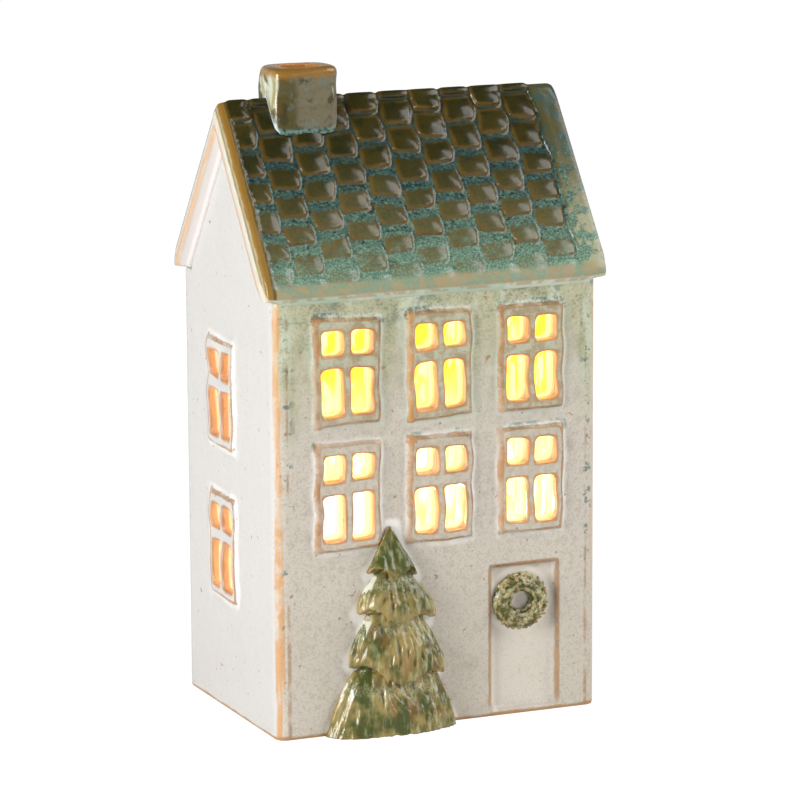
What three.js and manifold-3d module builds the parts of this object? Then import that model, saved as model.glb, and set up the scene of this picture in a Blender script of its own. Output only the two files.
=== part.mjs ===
// Light-up house decoration: a slip-cast stoneware house lit by a battery tealight.
// Millimetres, +Z up. The origin is on the underside of the base, midway between the
// outer faces of the walls. The front wall faces -Y, and +X is to the viewer's right.

import * as THREE from 'three';
import { mergeVertices } from 'three/addons/utils/BufferGeometryUtils.js';
import Module from 'manifold-3d';

const wasm = await Module();
wasm.setup();

// Clearances
const seatGap = 0.3; // between pieces that touch on the real object
const lampGap = 0.3; // between the small pieces inside the tealight

// Walls and floor
const wallWidth = 102;
const wallDepth = 73;
const wallThickness = 7;
const floorThickness = 7;
const wallCornerRadius = 3.5;
const roomCornerRadius = 2;

// Windows: a raised plate pierced by two short panes over two tall ones
const windowWidth = 20.3;
const windowHeight = 31.5;
const windowRelief = 1;
const windowBevel = 0.4;
const windowCornerRadius = 1.2;
const paneWidth = 6.6;
const paneCornerRadius = 1.3;
const topPaneHeight = 7.5;
const tallPaneHeight = 13.6;
const mullionWidth = 2.5;
const transomHeight = 3.9;
const sillHeight = 2.8; // from the plate's lower edge to the tall panes
const frontWindowSpacing = 29;
const frontWindowShift = 0.4;
const lowerRowHeight = 70.8; // middle of the lower windows above the ground
const rowSpacing = 36.4;
const seatAboveRow = 21.3; // from the middle of the upper windows to the roof's seat
const sideWindowShift = 4.8; // towards the back wall
const sideUpperHeight = 95.5;
const sideLowerHeight = 49.6;

// Door: a shallow panel with sloping sides
const doorCentre = 27.3;
const doorWidth = 22.3;
const doorHeight = 44.6;
const doorSill = 1;
const doorRecess = 1.8;
const doorCornerRadius = 0.8;

// Opening in the back wall, through which the tealight goes
const openingWidth = 48;
const openingSpring = 31; // height of the straight sides above the floor

// Roof: two slopes of one clay thickness, with a rim along the verges
const roofPitch = THREE.MathUtils.degToRad(53.1);
const roofThickness = 6.5; // square to the slope
const eaveOverhang = 1.8;
const eaveRise = 3; // height of the eave's tip above its seat on the wall
const vergeOverhang = 3.2;
const vergeEdge = 3.5; // thickness of the verge's outer edge
const ridgeRounding = 2;

// Tiles: columns that run down the slope, each staggered by half a tile
const tileRelief = 1.2;
const tileBevel = 1.1;
const tileRoot = 0.5; // depth of each tile's foot in the slope
const tileColumnPitch = 9.93;
const tileRowPitch = 9.2;
const tileGroove = 1.5;
const firstTileLength = 7.5; // from the ridge to the first groove
const leftVergeBand = 3.9;
const rightVergeBand = 8.4;
const eaveBand = 2.6;

// Chimney
const chimneyCentre = -28.1;
const chimneyWidth = 20.6;
const chimneyDepth = 15;
const chimneyRise = 8.8; // above the ridge tiles
const chimneyCornerRadius = 3;
const chimneyTopRounding = 1.8;
const flueWidth = 10.4;
const flueDepth = 8.4;
const flueCornerRadius = 1.5;

// Fir tree on the front wall, and its tiers from the foot up. A tier's height and tilt
// are shares of the tree's height, its reach and waist of the tree's reach.
const treeCentre = -15;
const treeHeight = 60.6;
const treeReach = 20.2;
const treeDepth = 8.8;
const treeTiers = [
  { height: 0, reach: 1, depth: 1, waist: 0.535, tilt: 0 },
  { height: 0.293, reach: 0.718, depth: 0.91, waist: 0.396, tilt: 0.08 },
  { height: 0.546, reach: 0.594, depth: 0.773, waist: 0.208, tilt: 0.065 },
  { height: 0.751, reach: 0.391, depth: 0.557, waist: 0.045, tilt: 0.034 },
];
const treeDroop = 1.3; // depth of the scallops along each tier's lower edge
const treeScallops = 5;

// Wreath on the door
const wreathCentre = 26.3;
const wreathHeight = 34;
const wreathRadius = 8.5;
const wreathHoleRadius = 3;
const wreathDepth = 3.6;
const wreathLobes = 13;

// Battery tealight: plastic shell and flame
const tealightRadius = 18.75;
const tealightHeight = 18;
const plasticWall = 1.2;
const rimRounding = 0.8;
const dishDepth = 2;
const dishSlope = 3; // width of the dish's sloping sides, at the rim and at the flame
const flameHeight = 17; // above the shell's rim
const flameRadius = 4.9;
const flameNeckRadius = 4.3;
const flameFlangeRadius = 6.2;
const flameFlangeHeight = 1.2;

// Battery tealight: flicker lamp
const ledRadius = 2.5;
const ledHeight = 8.7;
const ledFlange = 0.4;
const ledFlangeHeight = 1;
const leadRadius = 0.25;
const leadSpacing = 2.54;

// Battery tealight: base plate, cell and twist-lock door
const plateRecess = 0.6; // above what the tealight stands on
const plateThickness = 1.6;
const ledgeThickness = 0.8;
const cellRadius = 10;
const cellHeight = 3.2;
const cellPlay = 0.35;
const pocketRadius = 13.5;
const doorSkirtRadius = 11.5;
const doorHubRadius = 10.6;
const doorSkirtHeight = 0.5;
const lugReach = 11.6;
const lugWidth = 5;
const lugHeight = 0.5;
const coinSlotLength = 14;
const coinSlotWidth = 2;
const coinSlotDepth = 0.7;
const doorTwist = THREE.MathUtils.degToRad(50);

// Battery tealight: switch and contact strips
const switchRadius = 15.3; // from the tealight's axis to the knob's centre
const switchTravel = 2.4;
const knobLength = 2.6;
const knobWidth = 2;
const knobReach = 0.3; // below the base plate
const sliderLength = 5.2;
const sliderWidth = 3;
const sliderHeight = 0.8;
const stripThickness = 0.3;
const bladeLength = 4;
const bladeWidth = 1.4;
const padWidth = 1.4;
const padSpacing = 2.8;
const negativeStripWidth = 3;

// Places worked out from the sizes above
const upperRowHeight = lowerRowHeight + rowSpacing;
const wallHeight = upperRowHeight + seatAboveRow; // seat of the roof on the long walls
const frontFace = -wallDepth / 2;
const wallHalf = wallWidth / 2;
const depthHalf = wallDepth / 2;
const eaveHalf = depthHalf + eaveOverhang;
const slopeSin = Math.sin(roofPitch);
const slopeCos = Math.cos(roofPitch);
const slopeTan = Math.tan(roofPitch);
const slopeLength = eaveHalf / slopeCos;
const ridgeHeight = wallHeight + eaveRise + eaveHalf * slopeTan; // where the tile tops meet
const chimneyTop = ridgeHeight + chimneyRise;
const roofHalf = wallHalf + vergeOverhang;

// Height of the roof at a distance from the ridge, at a depth under the tile tops
function slopeHeight(y, depth) {
  return ridgeHeight - Math.abs(y) * slopeTan - depth / slopeCos;
}

// Distance from the ridge, level, at which the roof comes down to a height
function slopeMeets(height, depth) {
  return (ridgeHeight - depth / slopeCos - height) / slopeTan;
}

// Solids

// Joins shared corners, drops collapsed triangles and turns the faces outward
function closed(geometry) {
  const bare = geometry.clone();
  bare.deleteAttribute('normal');
  bare.deleteAttribute('uv');
  const merged = mergeVertices(bare, 1e-4);
  const position = merged.getAttribute('position');
  const index = Array.from(merged.getIndex().array);
  const corners = [new THREE.Vector3(), new THREE.Vector3(), new THREE.Vector3()];
  const triangles = [];
  let volume = 0;
  for (let i = 0; i < index.length; i += 3) {
    const triangle = index.slice(i, i + 3);
    if (new Set(triangle).size < 3) continue;
    triangle.forEach((vertex, k) => corners[k].fromBufferAttribute(position, vertex));
    volume += corners[0].dot(corners[1].clone().cross(corners[2]));
    triangles.push(...triangle);
  }
  if (volume < 0) triangles.reverse();
  const result = new THREE.BufferGeometry();
  result.setAttribute('position', position);
  result.setIndex(triangles);
  return result;
}

function solidOf(geometry) {
  const whole = closed(geometry);
  return new wasm.Manifold(new wasm.Mesh({
    numProp: 3,
    vertProperties: new Float32Array(whole.getAttribute('position').array),
    triVerts: new Uint32Array(whole.getIndex().array),
  }));
}

function geometryOf(solid) {
  const mesh = solid.getMesh();
  const geometry = new THREE.BufferGeometry();
  geometry.setAttribute('position', new THREE.BufferAttribute(mesh.vertProperties, 3));
  geometry.setIndex(Array.from(mesh.triVerts));
  return geometry;
}

function joined(geometries) {
  return geometries.map(solidOf).reduce((whole, piece) => whole.add(piece));
}

function cut(solid, geometries) {
  return geometries.map(solidOf).reduce((rest, tool) => rest.subtract(tool), solid);
}

// A closed body through rings of equally many points, with flat ends
function loft(rings) {
  const count = rings[0].length;
  const points = rings.flat();
  const faces = [];
  for (let ring = 0; ring + 1 < rings.length; ring += 1) {
    for (let i = 0; i < count; i += 1) {
      const a = ring * count + i;
      const b = ring * count + (i + 1) % count;
      faces.push(a, b, b + count, a, b + count, a + count);
    }
  }
  const end = (ring, start, reverse) => {
    const [u, v] = flatAxes(ring);
    const outline = ring.map((point) => new THREE.Vector2(point.dot(u), point.dot(v)));
    for (const face of THREE.ShapeUtils.triangulateShape(outline, [])) {
      const corners = face.map((i) => start + i);
      faces.push(...(reverse ? corners.reverse() : corners));
    }
  };
  end(rings[0], 0, true);
  end(rings[rings.length - 1], points.length - count, false);
  const geometry = new THREE.BufferGeometry().setFromPoints(points);
  geometry.setIndex(faces);
  return geometry;
}

// Two axes in the plane of a flat ring that runs anticlockwise about its normal
function flatAxes(ring) {
  const normal = new THREE.Vector3();
  ring.forEach((point, i) => {
    normal.add(point.clone().cross(ring[(i + 1) % ring.length]));
  });
  normal.normalize();
  const u = ring[1].clone().sub(ring[0]).normalize();
  return [u, normal.clone().cross(u)];
}

// Shapes

function roundedRect(width, height, radius, centreX = 0, centreY = 0) {
  const x = width / 2 - radius;
  const y = height / 2 - radius;
  const shape = new THREE.Shape();
  const quarter = Math.PI / 2;
  shape.absarc(centreX + x, centreY - y, radius, -quarter, 0);
  shape.absarc(centreX + x, centreY + y, radius, 0, quarter);
  shape.absarc(centreX - x, centreY + y, radius, quarter, 2 * quarter);
  shape.absarc(centreX - x, centreY - y, radius, 2 * quarter, 3 * quarter);
  return shape;
}

function prism(shape, from, to, curveSegments = 3) {
  const options = { depth: to - from, bevelEnabled: false, curveSegments };
  return new THREE.ExtrudeGeometry(shape, options).translate(0, 0, from);
}

function box(x, y, z) {
  const size = [x, y, z].map(([low, high]) => high - low);
  const middle = [x, y, z].map(([low, high]) => (low + high) / 2);
  return new THREE.BoxGeometry(...size).translate(...middle);
}

// Turns a profile of radius and height about +Z
function turned(profile, segments = 32) {
  const points = profile.map(([radius, height]) => new THREE.Vector2(radius, height));
  return new THREE.LatheGeometry([...points, points[0]], segments).rotateX(Math.PI / 2);
}

// Extrudes an outline of Y and Z along X
function sectionAlongX(outline, from, to) {
  const shape = new THREE.Shape(outline.map(([y, z]) => new THREE.Vector2(y, z)));
  const turn = new THREE.Matrix4().makeBasis(
    new THREE.Vector3(0, 1, 0),
    new THREE.Vector3(0, 0, 1),
    new THREE.Vector3(1, 0, 0),
  );
  return prism(shape, from, to).applyMatrix4(turn);
}

// A place on a wall's outer face: across, up and out of the wall
function onWall(geometry, wall, across, height) {
  const up = new THREE.Vector3(0, 0, 1);
  const right = up.clone().cross(wall.out);
  const place = new THREE.Matrix4().makeBasis(right, up, wall.out);
  const origin = wall.out.clone().multiplyScalar(wall.distance);
  origin.addScaledVector(right, across).addScaledVector(up, height);
  return geometry.applyMatrix4(place.setPosition(origin));
}

const walls = {
  front: { out: new THREE.Vector3(0, -1, 0), distance: depthHalf },
  back: { out: new THREE.Vector3(0, 1, 0), distance: depthHalf },
  left: { out: new THREE.Vector3(-1, 0, 0), distance: wallHalf },
  right: { out: new THREE.Vector3(1, 0, 0), distance: wallHalf },
};

// Walls, with their gables, windows, door and back opening

const outside = 1; // how far each cutter stands out of the wall

function windowPlate(wall, across, height) {
  const plan = roundedRect(windowWidth - 2 * windowBevel, windowHeight - 2 * windowBevel,
    windowCornerRadius - windowBevel);
  const plate = new THREE.ExtrudeGeometry(plan, {
    depth: windowRelief,
    bevelThickness: windowBevel,
    bevelSize: windowBevel,
    bevelSegments: 1,
    curveSegments: 2,
  });
  return onWall(plate.translate(0, 0, -windowBevel), wall, across, height);
}

function windowPanes(wall, across, height) {
  const tallMiddle = -windowHeight / 2 + sillHeight + tallPaneHeight / 2;
  const topMiddle = tallMiddle + (tallPaneHeight + topPaneHeight) / 2 + transomHeight;
  const rows = [[tallMiddle, tallPaneHeight], [topMiddle, topPaneHeight]];
  const front = windowRelief + outside;
  return [-1, 1].flatMap((side) => rows.map(([middle, paneHeight]) => {
    const x = side * (paneWidth + mullionWidth) / 2;
    const pane = roundedRect(paneWidth, paneHeight, paneCornerRadius, x, middle);
    return onWall(prism(pane, -wallThickness - outside, front, 1), wall, across, height);
  }));
}

// Wall, place across it and height of each window's middle
function windowPlaces() {
  const places = [];
  for (const column of [-1, 0, 1]) {
    const x = frontWindowShift + column * frontWindowSpacing;
    places.push([walls.front, x, upperRowHeight]);
    places.push([walls.front, x, lowerRowHeight]);
  }
  for (const height of [sideUpperHeight, sideLowerHeight]) {
    places.push([walls.left, -sideWindowShift, height]);
    places.push([walls.right, sideWindowShift, height]);
  }
  return places;
}

function doorCutter() {
  const floor = roundedRect(doorWidth - 2 * doorRecess, doorHeight - 2 * doorRecess,
    doorCornerRadius);
  const sloped = new THREE.ExtrudeGeometry(floor, {
    depth: outside,
    bevelThickness: doorRecess,
    bevelSize: doorRecess,
    bevelSegments: 1,
    curveSegments: 2,
  });
  return onWall(sloped, walls.front, doorCentre, doorSill + doorHeight / 2);
}

function backOpeningCutter() {
  const half = openingWidth / 2;
  const shape = new THREE.Shape();
  shape.moveTo(-half, floorThickness);
  shape.lineTo(half, floorThickness);
  shape.lineTo(half, floorThickness + openingSpring);
  shape.absarc(0, floorThickness + openingSpring, half, 0, Math.PI);
  return onWall(prism(shape, -wallThickness - outside, outside, 14), walls.back, 0, 0);
}

// Outline of a gable between the front and back walls, up to the roof's underside
function gable() {
  const half = depthHalf - wallThickness - seatGap;
  const under = tileRelief + roofThickness + seatGap;
  return [
    [-half, wallHeight - wallThickness],
    [half, wallHeight - wallThickness],
    [half, slopeHeight(half, under)],
    [0, slopeHeight(0, under)],
    [-half, slopeHeight(half, under)],
  ];
}

function houseWalls() {
  const plan = roundedRect(wallWidth, wallDepth, wallCornerRadius);
  const room = roundedRect(wallWidth - 2 * wallThickness, wallDepth - 2 * wallThickness,
    roomCornerRadius);
  const shell = cut(solidOf(prism(plan, 0, wallHeight)), [
    prism(room, floorThickness, wallHeight + outside),
  ]);
  const withGables = shell
    .add(solidOf(sectionAlongX(gable(), -wallHalf, -wallHalf + wallThickness)))
    .add(solidOf(sectionAlongX(gable(), wallHalf - wallThickness, wallHalf)));
  const places = windowPlaces();
  const plates = joined(places.map((place) => windowPlate(...place)));
  const panes = places.flatMap((place) => windowPanes(...place));
  return geometryOf(cut(withGables.add(plates), [doorCutter(), backOpeningCutter(), ...panes]));
}

// Roof

// Section of both slopes where they lie over the walls, seated on them
function roofSection(x) {
  const under = tileRelief + roofThickness;
  const half = [
    [eaveHalf, slopeHeight(eaveHalf, tileRelief)],
    [depthHalf, wallHeight],
    [slopeMeets(wallHeight, under), wallHeight],
  ];
  return bothSlopes(x, half, tileRelief, under);
}

// Thinner section at the outer edge of a verge
function vergeSection(x) {
  const under = tileRelief + vergeEdge;
  const half = [
    [eaveHalf, slopeHeight(eaveHalf, tileRelief)],
    [depthHalf + eaveOverhang / 2, wallHeight],
    [slopeMeets(wallHeight, under), wallHeight],
  ];
  return bothSlopes(x, half, tileRelief, under);
}

// Fillet of clay that widens the roof's seat to the full thickness of a wall
function seatFillets() {
  const inner = depthHalf - wallThickness;
  const under = tileRelief + roofThickness;
  const seat = slopeMeets(wallHeight, under) + seatGap;
  const rise = wallHeight + seatGap * slopeTan;
  return [-1, 1].map((side) => sectionAlongX([
    [side * inner, wallHeight],
    [side * seat, wallHeight],
    [side * seat, rise],
    [side * inner, slopeHeight(inner, under - seatGap)],
  ], -wallHalf, wallHalf));
}

function bothSlopes(x, half, top, under) {
  const outline = [
    [0, slopeHeight(0, top)],
    ...half,
    [0, slopeHeight(0, under)],
    ...half.map(([y, z]) => [-y, z]).reverse(),
  ];
  return outline.map(([y, z]) => new THREE.Vector3(x, y, z));
}

// A band of both slopes at the height of the tile tops, from the ridge downwards
function ridgeBand(from, to, length) {
  const point = (distance, depth) => {
    const y = distance * slopeCos;
    return [y, slopeHeight(y, depth)];
  };
  const inner = tileRelief + tileRoot;
  const bevelled = length - tileBevel;
  const rounding = Math.min(ridgeRounding, bevelled / 2);
  const half = [point(rounding, 0), point(bevelled, 0), point(length, tileRelief),
    point(length, inner)];
  return sectionAlongX([
    [0, point(rounding, 0)[1] + rounding * slopeSin * 0.6],
    ...half,
    point(0, inner),
    ...half.map(([y, z]) => [-y, z]).reverse(),
  ], from, to);
}

// One tile on the slope that faces along side, between two distances from the ridge
function tile(side, left, right, upper, lower) {
  const ring = (inset, depth) => {
    const [low, high] = [upper + inset, lower - inset];
    const corners = [[left + inset, low], [right - inset, low], [right - inset, high],
      [left + inset, high]];
    return corners.map(([x, distance]) => new THREE.Vector3(
      x,
      side * (distance * slopeCos - depth * slopeSin),
      ridgeHeight - distance * slopeSin - depth * slopeCos,
    ));
  };
  return loft([ring(0, tileRelief + tileRoot), ring(0, tileRelief), ring(tileBevel, 0)]);
}

function roofTiles() {
  const fieldLeft = -roofHalf + leftVergeBand;
  const fieldRight = roofHalf - rightVergeBand;
  const fieldEnd = slopeLength - eaveBand;
  const columns = Math.ceil((fieldRight - fieldLeft) / tileColumnPitch);
  const tiles = [];
  for (let column = 0; column < columns; column += 1) {
    const right = fieldRight - (columns - 1 - column) * tileColumnPitch - tileGroove / 2;
    const left = Math.max(right - tileColumnPitch + tileGroove, fieldLeft);
    const stagger = column % 2 === 0 ? 0 : tileRowPitch / 2;
    let groove = firstTileLength - stagger;
    tiles.push(ridgeBand(left, right, groove - tileGroove / 2));
    while (groove + tileGroove < fieldEnd) {
      const upper = groove + tileGroove / 2;
      const lower = Math.min(groove + tileRowPitch - tileGroove / 2, fieldEnd);
      if (lower - upper > 2.5 * tileBevel) {
        tiles.push(tile(-1, left, right, upper, lower), tile(1, left, right, upper, lower));
      }
      groove += tileRowPitch;
    }
  }
  return tiles;
}

// Plain bands along both verges and both eaves, level with the tile tops
function plainBands() {
  const reach = slopeLength - tileBevel / 2;
  const eave = [slopeLength - eaveBand, reach].map((distance) => distance * slopeCos);
  const inner = tileRelief + tileRoot;
  const eaves = [-1, 1].map((side) => sectionAlongX([
    [side * eave[0], slopeHeight(eave[0], tileRelief / 2)],
    [side * eave[1], slopeHeight(eave[1], tileRelief / 2)],
    [side * eave[1], slopeHeight(eave[1], inner)],
    [side * eave[0], slopeHeight(eave[0], inner)],
  ], -roofHalf + leftVergeBand, roofHalf - rightVergeBand));
  return [
    ridgeBand(-roofHalf, -roofHalf + leftVergeBand, reach),
    ridgeBand(roofHalf - rightVergeBand, roofHalf, reach),
    ...eaves,
  ];
}

function chimneyPlan(inset) {
  return roundedRect(chimneyWidth - 2 * inset, chimneyDepth - 2 * inset,
    chimneyCornerRadius - inset, chimneyCentre, 0);
}

function fluePrism() {
  const plan = roundedRect(flueWidth, flueDepth, flueCornerRadius, chimneyCentre, 0);
  return prism(plan, wallHeight, chimneyTop + outside);
}

function roof() {
  const slab = solidOf(loft([
    vergeSection(-roofHalf),
    roofSection(-wallHalf),
    roofSection(wallHalf),
    vergeSection(roofHalf),
  ]));
  const chimneySeat = prism(chimneyPlan(-seatGap), wallHeight, chimneyTop);
  const tiles = cut(joined([...roofTiles(), ...plainBands()]), [chimneySeat]);
  return geometryOf(cut(slab.add(tiles).add(joined(seatFillets())), [fluePrism()]));
}

// Chimney: a square stack that straddles the ridge, with an open flue
function chimney() {
  const stack = new THREE.ExtrudeGeometry(chimneyPlan(chimneyTopRounding), {
    depth: chimneyTop - wallHeight - 2 * chimneyTopRounding,
    bevelThickness: chimneyTopRounding,
    bevelSize: chimneyTopRounding,
    bevelSegments: 3,
    curveSegments: 3,
  }).translate(0, 0, wallHeight + chimneyTopRounding);
  const lift = tileRelief - seatGap;
  const saddle = sectionAlongX([
    [0, slopeHeight(0, lift)],
    [eaveHalf, slopeHeight(eaveHalf, lift)],
    [eaveHalf, 0],
    [-eaveHalf, 0],
    [-eaveHalf, slopeHeight(eaveHalf, lift)],
  ], -roofHalf, roofHalf);
  return geometryOf(cut(solidOf(stack), [saddle, fluePrism()]));
}

// Fir tree: stacked tiers that swell out of the wall, flat at the back

const treeRoundSteps = 16;

function treeRing(reach, depth, height, tilt, droop) {
  const ring = [];
  for (let i = 0; i <= treeRoundSteps; i += 1) {
    const angle = Math.PI * i / treeRoundSteps;
    const across = -reach * Math.cos(angle);
    const out = i === 0 || i === treeRoundSteps ? 0 : depth * Math.sin(angle) ** 0.8;
    const scallop = droop * Math.abs(Math.sin(angle * treeScallops));
    const z = height - tilt * across / (2 * reach) - scallop;
    ring.push(new THREE.Vector3(treeCentre + across, frontFace - out, z));
  }
  return ring;
}

function treeRelief() {
  const tiers = treeTiers.map((tier) => ({
    height: tier.height * treeHeight,
    reach: tier.reach * treeReach,
    depth: tier.depth * treeDepth,
    waist: tier.waist * treeReach,
    tilt: tier.tilt * treeHeight,
  }));
  const rings = [];
  tiers.forEach((tier, i) => {
    const next = tiers[i + 1];
    const top = next ? next.height : treeHeight;
    const topTilt = next ? next.tilt : 0;
    const neckDepth = Math.min(tier.depth, tier.waist) * 0.75;
    const droop = i === 0 ? 0 : treeDroop;
    for (const rise of [0, 0.12, 0.35, 0.65, 1]) {
      const swoop = (1 - rise) ** 1.5;
      const edge = rise === 0 ? 0.94 : 1;
      const reach = THREE.MathUtils.lerp(tier.waist, tier.reach, swoop) * edge;
      const depth = THREE.MathUtils.lerp(neckDepth, tier.depth, swoop) * edge;
      const height = THREE.MathUtils.lerp(tier.height, top, rise);
      const tilt = THREE.MathUtils.lerp(tier.tilt, topTilt, rise);
      rings.push(treeRing(reach, depth, height, tilt, droop * (1 - rise)));
    }
  });
  return closed(loft(rings));
}

// Wreath: a leafy ring with a flat back on the door's panel
function wreathRelief() {
  const segments = 2 * wreathLobes;
  const middle = (wreathRadius + wreathHoleRadius) / 2;
  const half = (wreathRadius - wreathHoleRadius) / 2;
  const arc = [0, 0.2, 0.4, 0.6, 0.8, 1].map((t) => t * Math.PI);
  const profile = arc.map((angle) => [middle + half * Math.cos(angle),
    wreathDepth * Math.sin(angle)]);
  profile[0][1] = 0;
  profile[profile.length - 1][1] = 0;
  const ring = turned(profile, segments);
  const position = ring.getAttribute('position');
  for (let i = 0; i < position.count; i += 1) {
    const point = new THREE.Vector3().fromBufferAttribute(position, i);
    const angle = Math.atan2(point.y, point.x);
    const leaf = 1 + 0.05 * Math.cos(wreathLobes * angle);
    position.setXYZ(i, point.x * leaf, point.y * leaf, point.z * leaf);
  }
  ring.translate(0, 0, -doorRecess);
  return closed(onWall(ring, walls.front, wreathCentre, wreathHeight));
}

// Battery tealight, modelled from the surface that it stands on

const plateTop = plateRecess + plateThickness;
const ledgeBottom = plateTop - ledgeThickness;
const lugBottom = plateTop + lampGap;
const doorTop = lugBottom + lugHeight;
const cellBottom = doorTop + lampGap;
const cellTop = cellBottom + cellHeight;
const pocketTop = cellTop + lampGap;
const dishHeight = tealightHeight - dishDepth;
const holeTop = dishHeight - 0.4;
const holeBottom = holeTop - plasticWall;
const flangeTop = holeBottom - lampGap;
const flangeBottom = flangeTop - flameFlangeHeight;
const ledBottom = flangeBottom - lampGap - ledFlangeHeight;
const ledTop = ledBottom + ledHeight;
const leadTop = ledBottom - lampGap;
const padBottom = plateTop + lampGap + sliderHeight + stripThickness + lampGap;
const padCentres = [-padSpacing / 2 + switchTravel / 2, padSpacing / 2 + switchTravel / 2];
const plateRadius = tealightRadius - plasticWall - lampGap / 2;

function tealightCup() {
  const inner = tealightRadius - plasticWall;
  const holeRadius = flameNeckRadius + lampGap;
  return closed(turned([
    [tealightRadius, 0],
    [tealightRadius, tealightHeight - rimRounding],
    [tealightRadius - rimRounding, tealightHeight],
    [tealightRadius - 2 * rimRounding, tealightHeight - rimRounding / 4],
    [tealightRadius - dishSlope, dishHeight],
    [holeRadius + dishSlope, dishHeight],
    [holeRadius, holeTop],
    [holeRadius, holeBottom],
    [inner, holeBottom],
    [inner, 0],
  ], 32));
}

function flameLens() {
  const bore = ledRadius + lampGap;
  const tip = tealightHeight + flameHeight;
  const swell = dishHeight + flameHeight * 0.3;
  return closed(turned([
    [bore, flangeBottom],
    [flameFlangeRadius, flangeBottom],
    [flameFlangeRadius, flangeTop],
    [flameNeckRadius, flangeTop],
    [flameNeckRadius, dishHeight + 0.3],
    [flameRadius, swell],
    [flameRadius * 0.84, swell + (tip - swell) * 0.3],
    [flameRadius * 0.5, swell + (tip - swell) * 0.62],
    [flameRadius * 0.2, swell + (tip - swell) * 0.88],
    [0, tip],
    [0, ledTop + lampGap],
    [bore * 0.7, ledTop + lampGap - 0.8],
    [bore, ledTop + lampGap - ledRadius],
  ], 24));
}

function flickerLed() {
  const shoulder = ledTop - ledRadius;
  return closed(turned([
    [0, ledBottom],
    [ledRadius + ledFlange, ledBottom],
    [ledRadius + ledFlange, ledBottom + ledFlangeHeight],
    [ledRadius, ledBottom + ledFlangeHeight],
    [ledRadius, shoulder],
    [ledRadius * Math.cos(Math.PI / 6), shoulder + ledRadius * Math.sin(Math.PI / 6)],
    [ledRadius * Math.cos(Math.PI / 3), shoulder + ledRadius * Math.sin(Math.PI / 3)],
    [0, ledTop],
  ], 16));
}

function lead(points) {
  const path = new THREE.CatmullRomCurve3(points.map((point) => new THREE.Vector3(...point)));
  const section = new THREE.Shape().absarc(0, 0, leadRadius, 0, 2 * Math.PI);
  const steps = 3 * (points.length - 1);
  return closed(new THREE.ExtrudeGeometry(section, {
    steps,
    curveSegments: 3,
    extrudePath: path,
  }));
}

function cathodeLead() {
  const x = -leadSpacing / 2;
  return lead([[x, 0, leadTop], [x, 0, pocketTop + stripThickness + lampGap]]);
}

function anodeLead() {
  const x = leadSpacing / 2;
  const joint = pocketTop + stripThickness + lampGap;
  const endY = -(cellRadius + pocketRadius) / 2;
  return lead([
    [x, 0, leadTop],
    [x, 0, leadTop - 1.5],
    [x + 0.4, endY * 0.4, joint + 1.6],
    [padCentres[1], endY * 0.85, joint + 1.2],
    [padCentres[1], endY, joint],
  ]);
}

function basePlate() {
  const ledgeRadius = doorHubRadius + lampGap;
  const lugBore = Math.hypot(lugReach, lugWidth / 2) + lampGap;
  const plate = solidOf(turned([
    [plateRadius, plateRecess],
    [plateRadius, plateTop],
    [pocketRadius, plateTop],
    [pocketRadius, pocketTop],
    [cellRadius + cellPlay, pocketTop],
    [cellRadius + cellPlay, cellBottom],
    [lugBore, cellBottom],
    [lugBore, plateTop],
    [ledgeRadius, plateTop],
    [ledgeRadius, ledgeBottom],
    [doorSkirtRadius + lampGap, ledgeBottom],
    [doorSkirtRadius + lampGap, plateRecess],
  ], 32));
  const notchHalf = lugWidth / 2 + lampGap;
  const notches = [0, Math.PI].map((turn) => {
    const reach = [doorHubRadius - 1, lugReach + lampGap];
    const notch = box(reach, [-notchHalf, notchHalf], [ledgeBottom - 0.2, plateTop + 0.2]);
    return notch.rotateZ(turn + doorTwist);
  });
  const slotHalf = (knobLength + switchTravel) / 2 + lampGap;
  const slotReach = knobWidth / 2 + lampGap;
  const slot = box([-slotHalf, slotHalf], [-switchRadius - slotReach, -switchRadius + slotReach],
    [0, plateTop + 1]);
  const contactHalf = padWidth / 2 + lampGap;
  const contactWay = box([padCentres[0] - contactHalf, padCentres[0] + contactHalf],
    [-pocketRadius - 1, -cellRadius + 1], [padBottom - lampGap, pocketTop + 1]);
  return geometryOf(cut(plate, [...notches, slot, contactWay]));
}

function coinCell() {
  return closed(turned([
    [0, cellBottom],
    [cellRadius - 0.3, cellBottom],
    [cellRadius, cellBottom + 0.3],
    [cellRadius, cellTop - 0.7],
    [cellRadius - 0.7, cellTop - 0.3],
    [cellRadius - 1.2, cellTop],
    [0, cellTop],
  ], 32));
}

// A bent strip: an outline of Y and Z, as wide as given, about a place on X
function strip(outline, centre, width) {
  return closed(sectionAlongX(outline, centre - width / 2, centre + width / 2));
}

function negativeContact() {
  const reach = (cellRadius + cellPlay + pocketRadius) / 2;
  const width = negativeStripWidth / 2;
  return box([-reach, reach], [-width, width], [pocketTop, pocketTop + stripThickness]);
}

function positiveContact() {
  const rim = -cellRadius - lampGap;
  const end = -switchRadius - bladeWidth / 2;
  const padTop = padBottom + stripThickness;
  return strip([
    [end, padBottom],
    [rim, padBottom],
    [rim, cellTop - 0.8],
    [rim - stripThickness, cellTop - 0.8],
    [rim - stripThickness, padTop],
    [end, padTop],
  ], padCentres[0], padWidth);
}

function lampContact() {
  const end = -switchRadius - bladeWidth / 2;
  const wall = -pocketRadius - lampGap;
  const padTop = padBottom + stripThickness;
  const seatTop = pocketTop + stripThickness;
  const seatEnd = -cellRadius - cellPlay - 0.5;
  return strip([
    [end, padBottom],
    [wall, padBottom],
    [wall, pocketTop],
    [seatEnd, pocketTop],
    [seatEnd, seatTop],
    [wall - stripThickness, seatTop],
    [wall - stripThickness, padTop],
    [end, padTop],
  ], padCentres[1], padWidth);
}

// The switch at rest stands at its lit end
const switchCentre = switchTravel / 2;
const sliderBottom = plateTop + lampGap;

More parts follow.
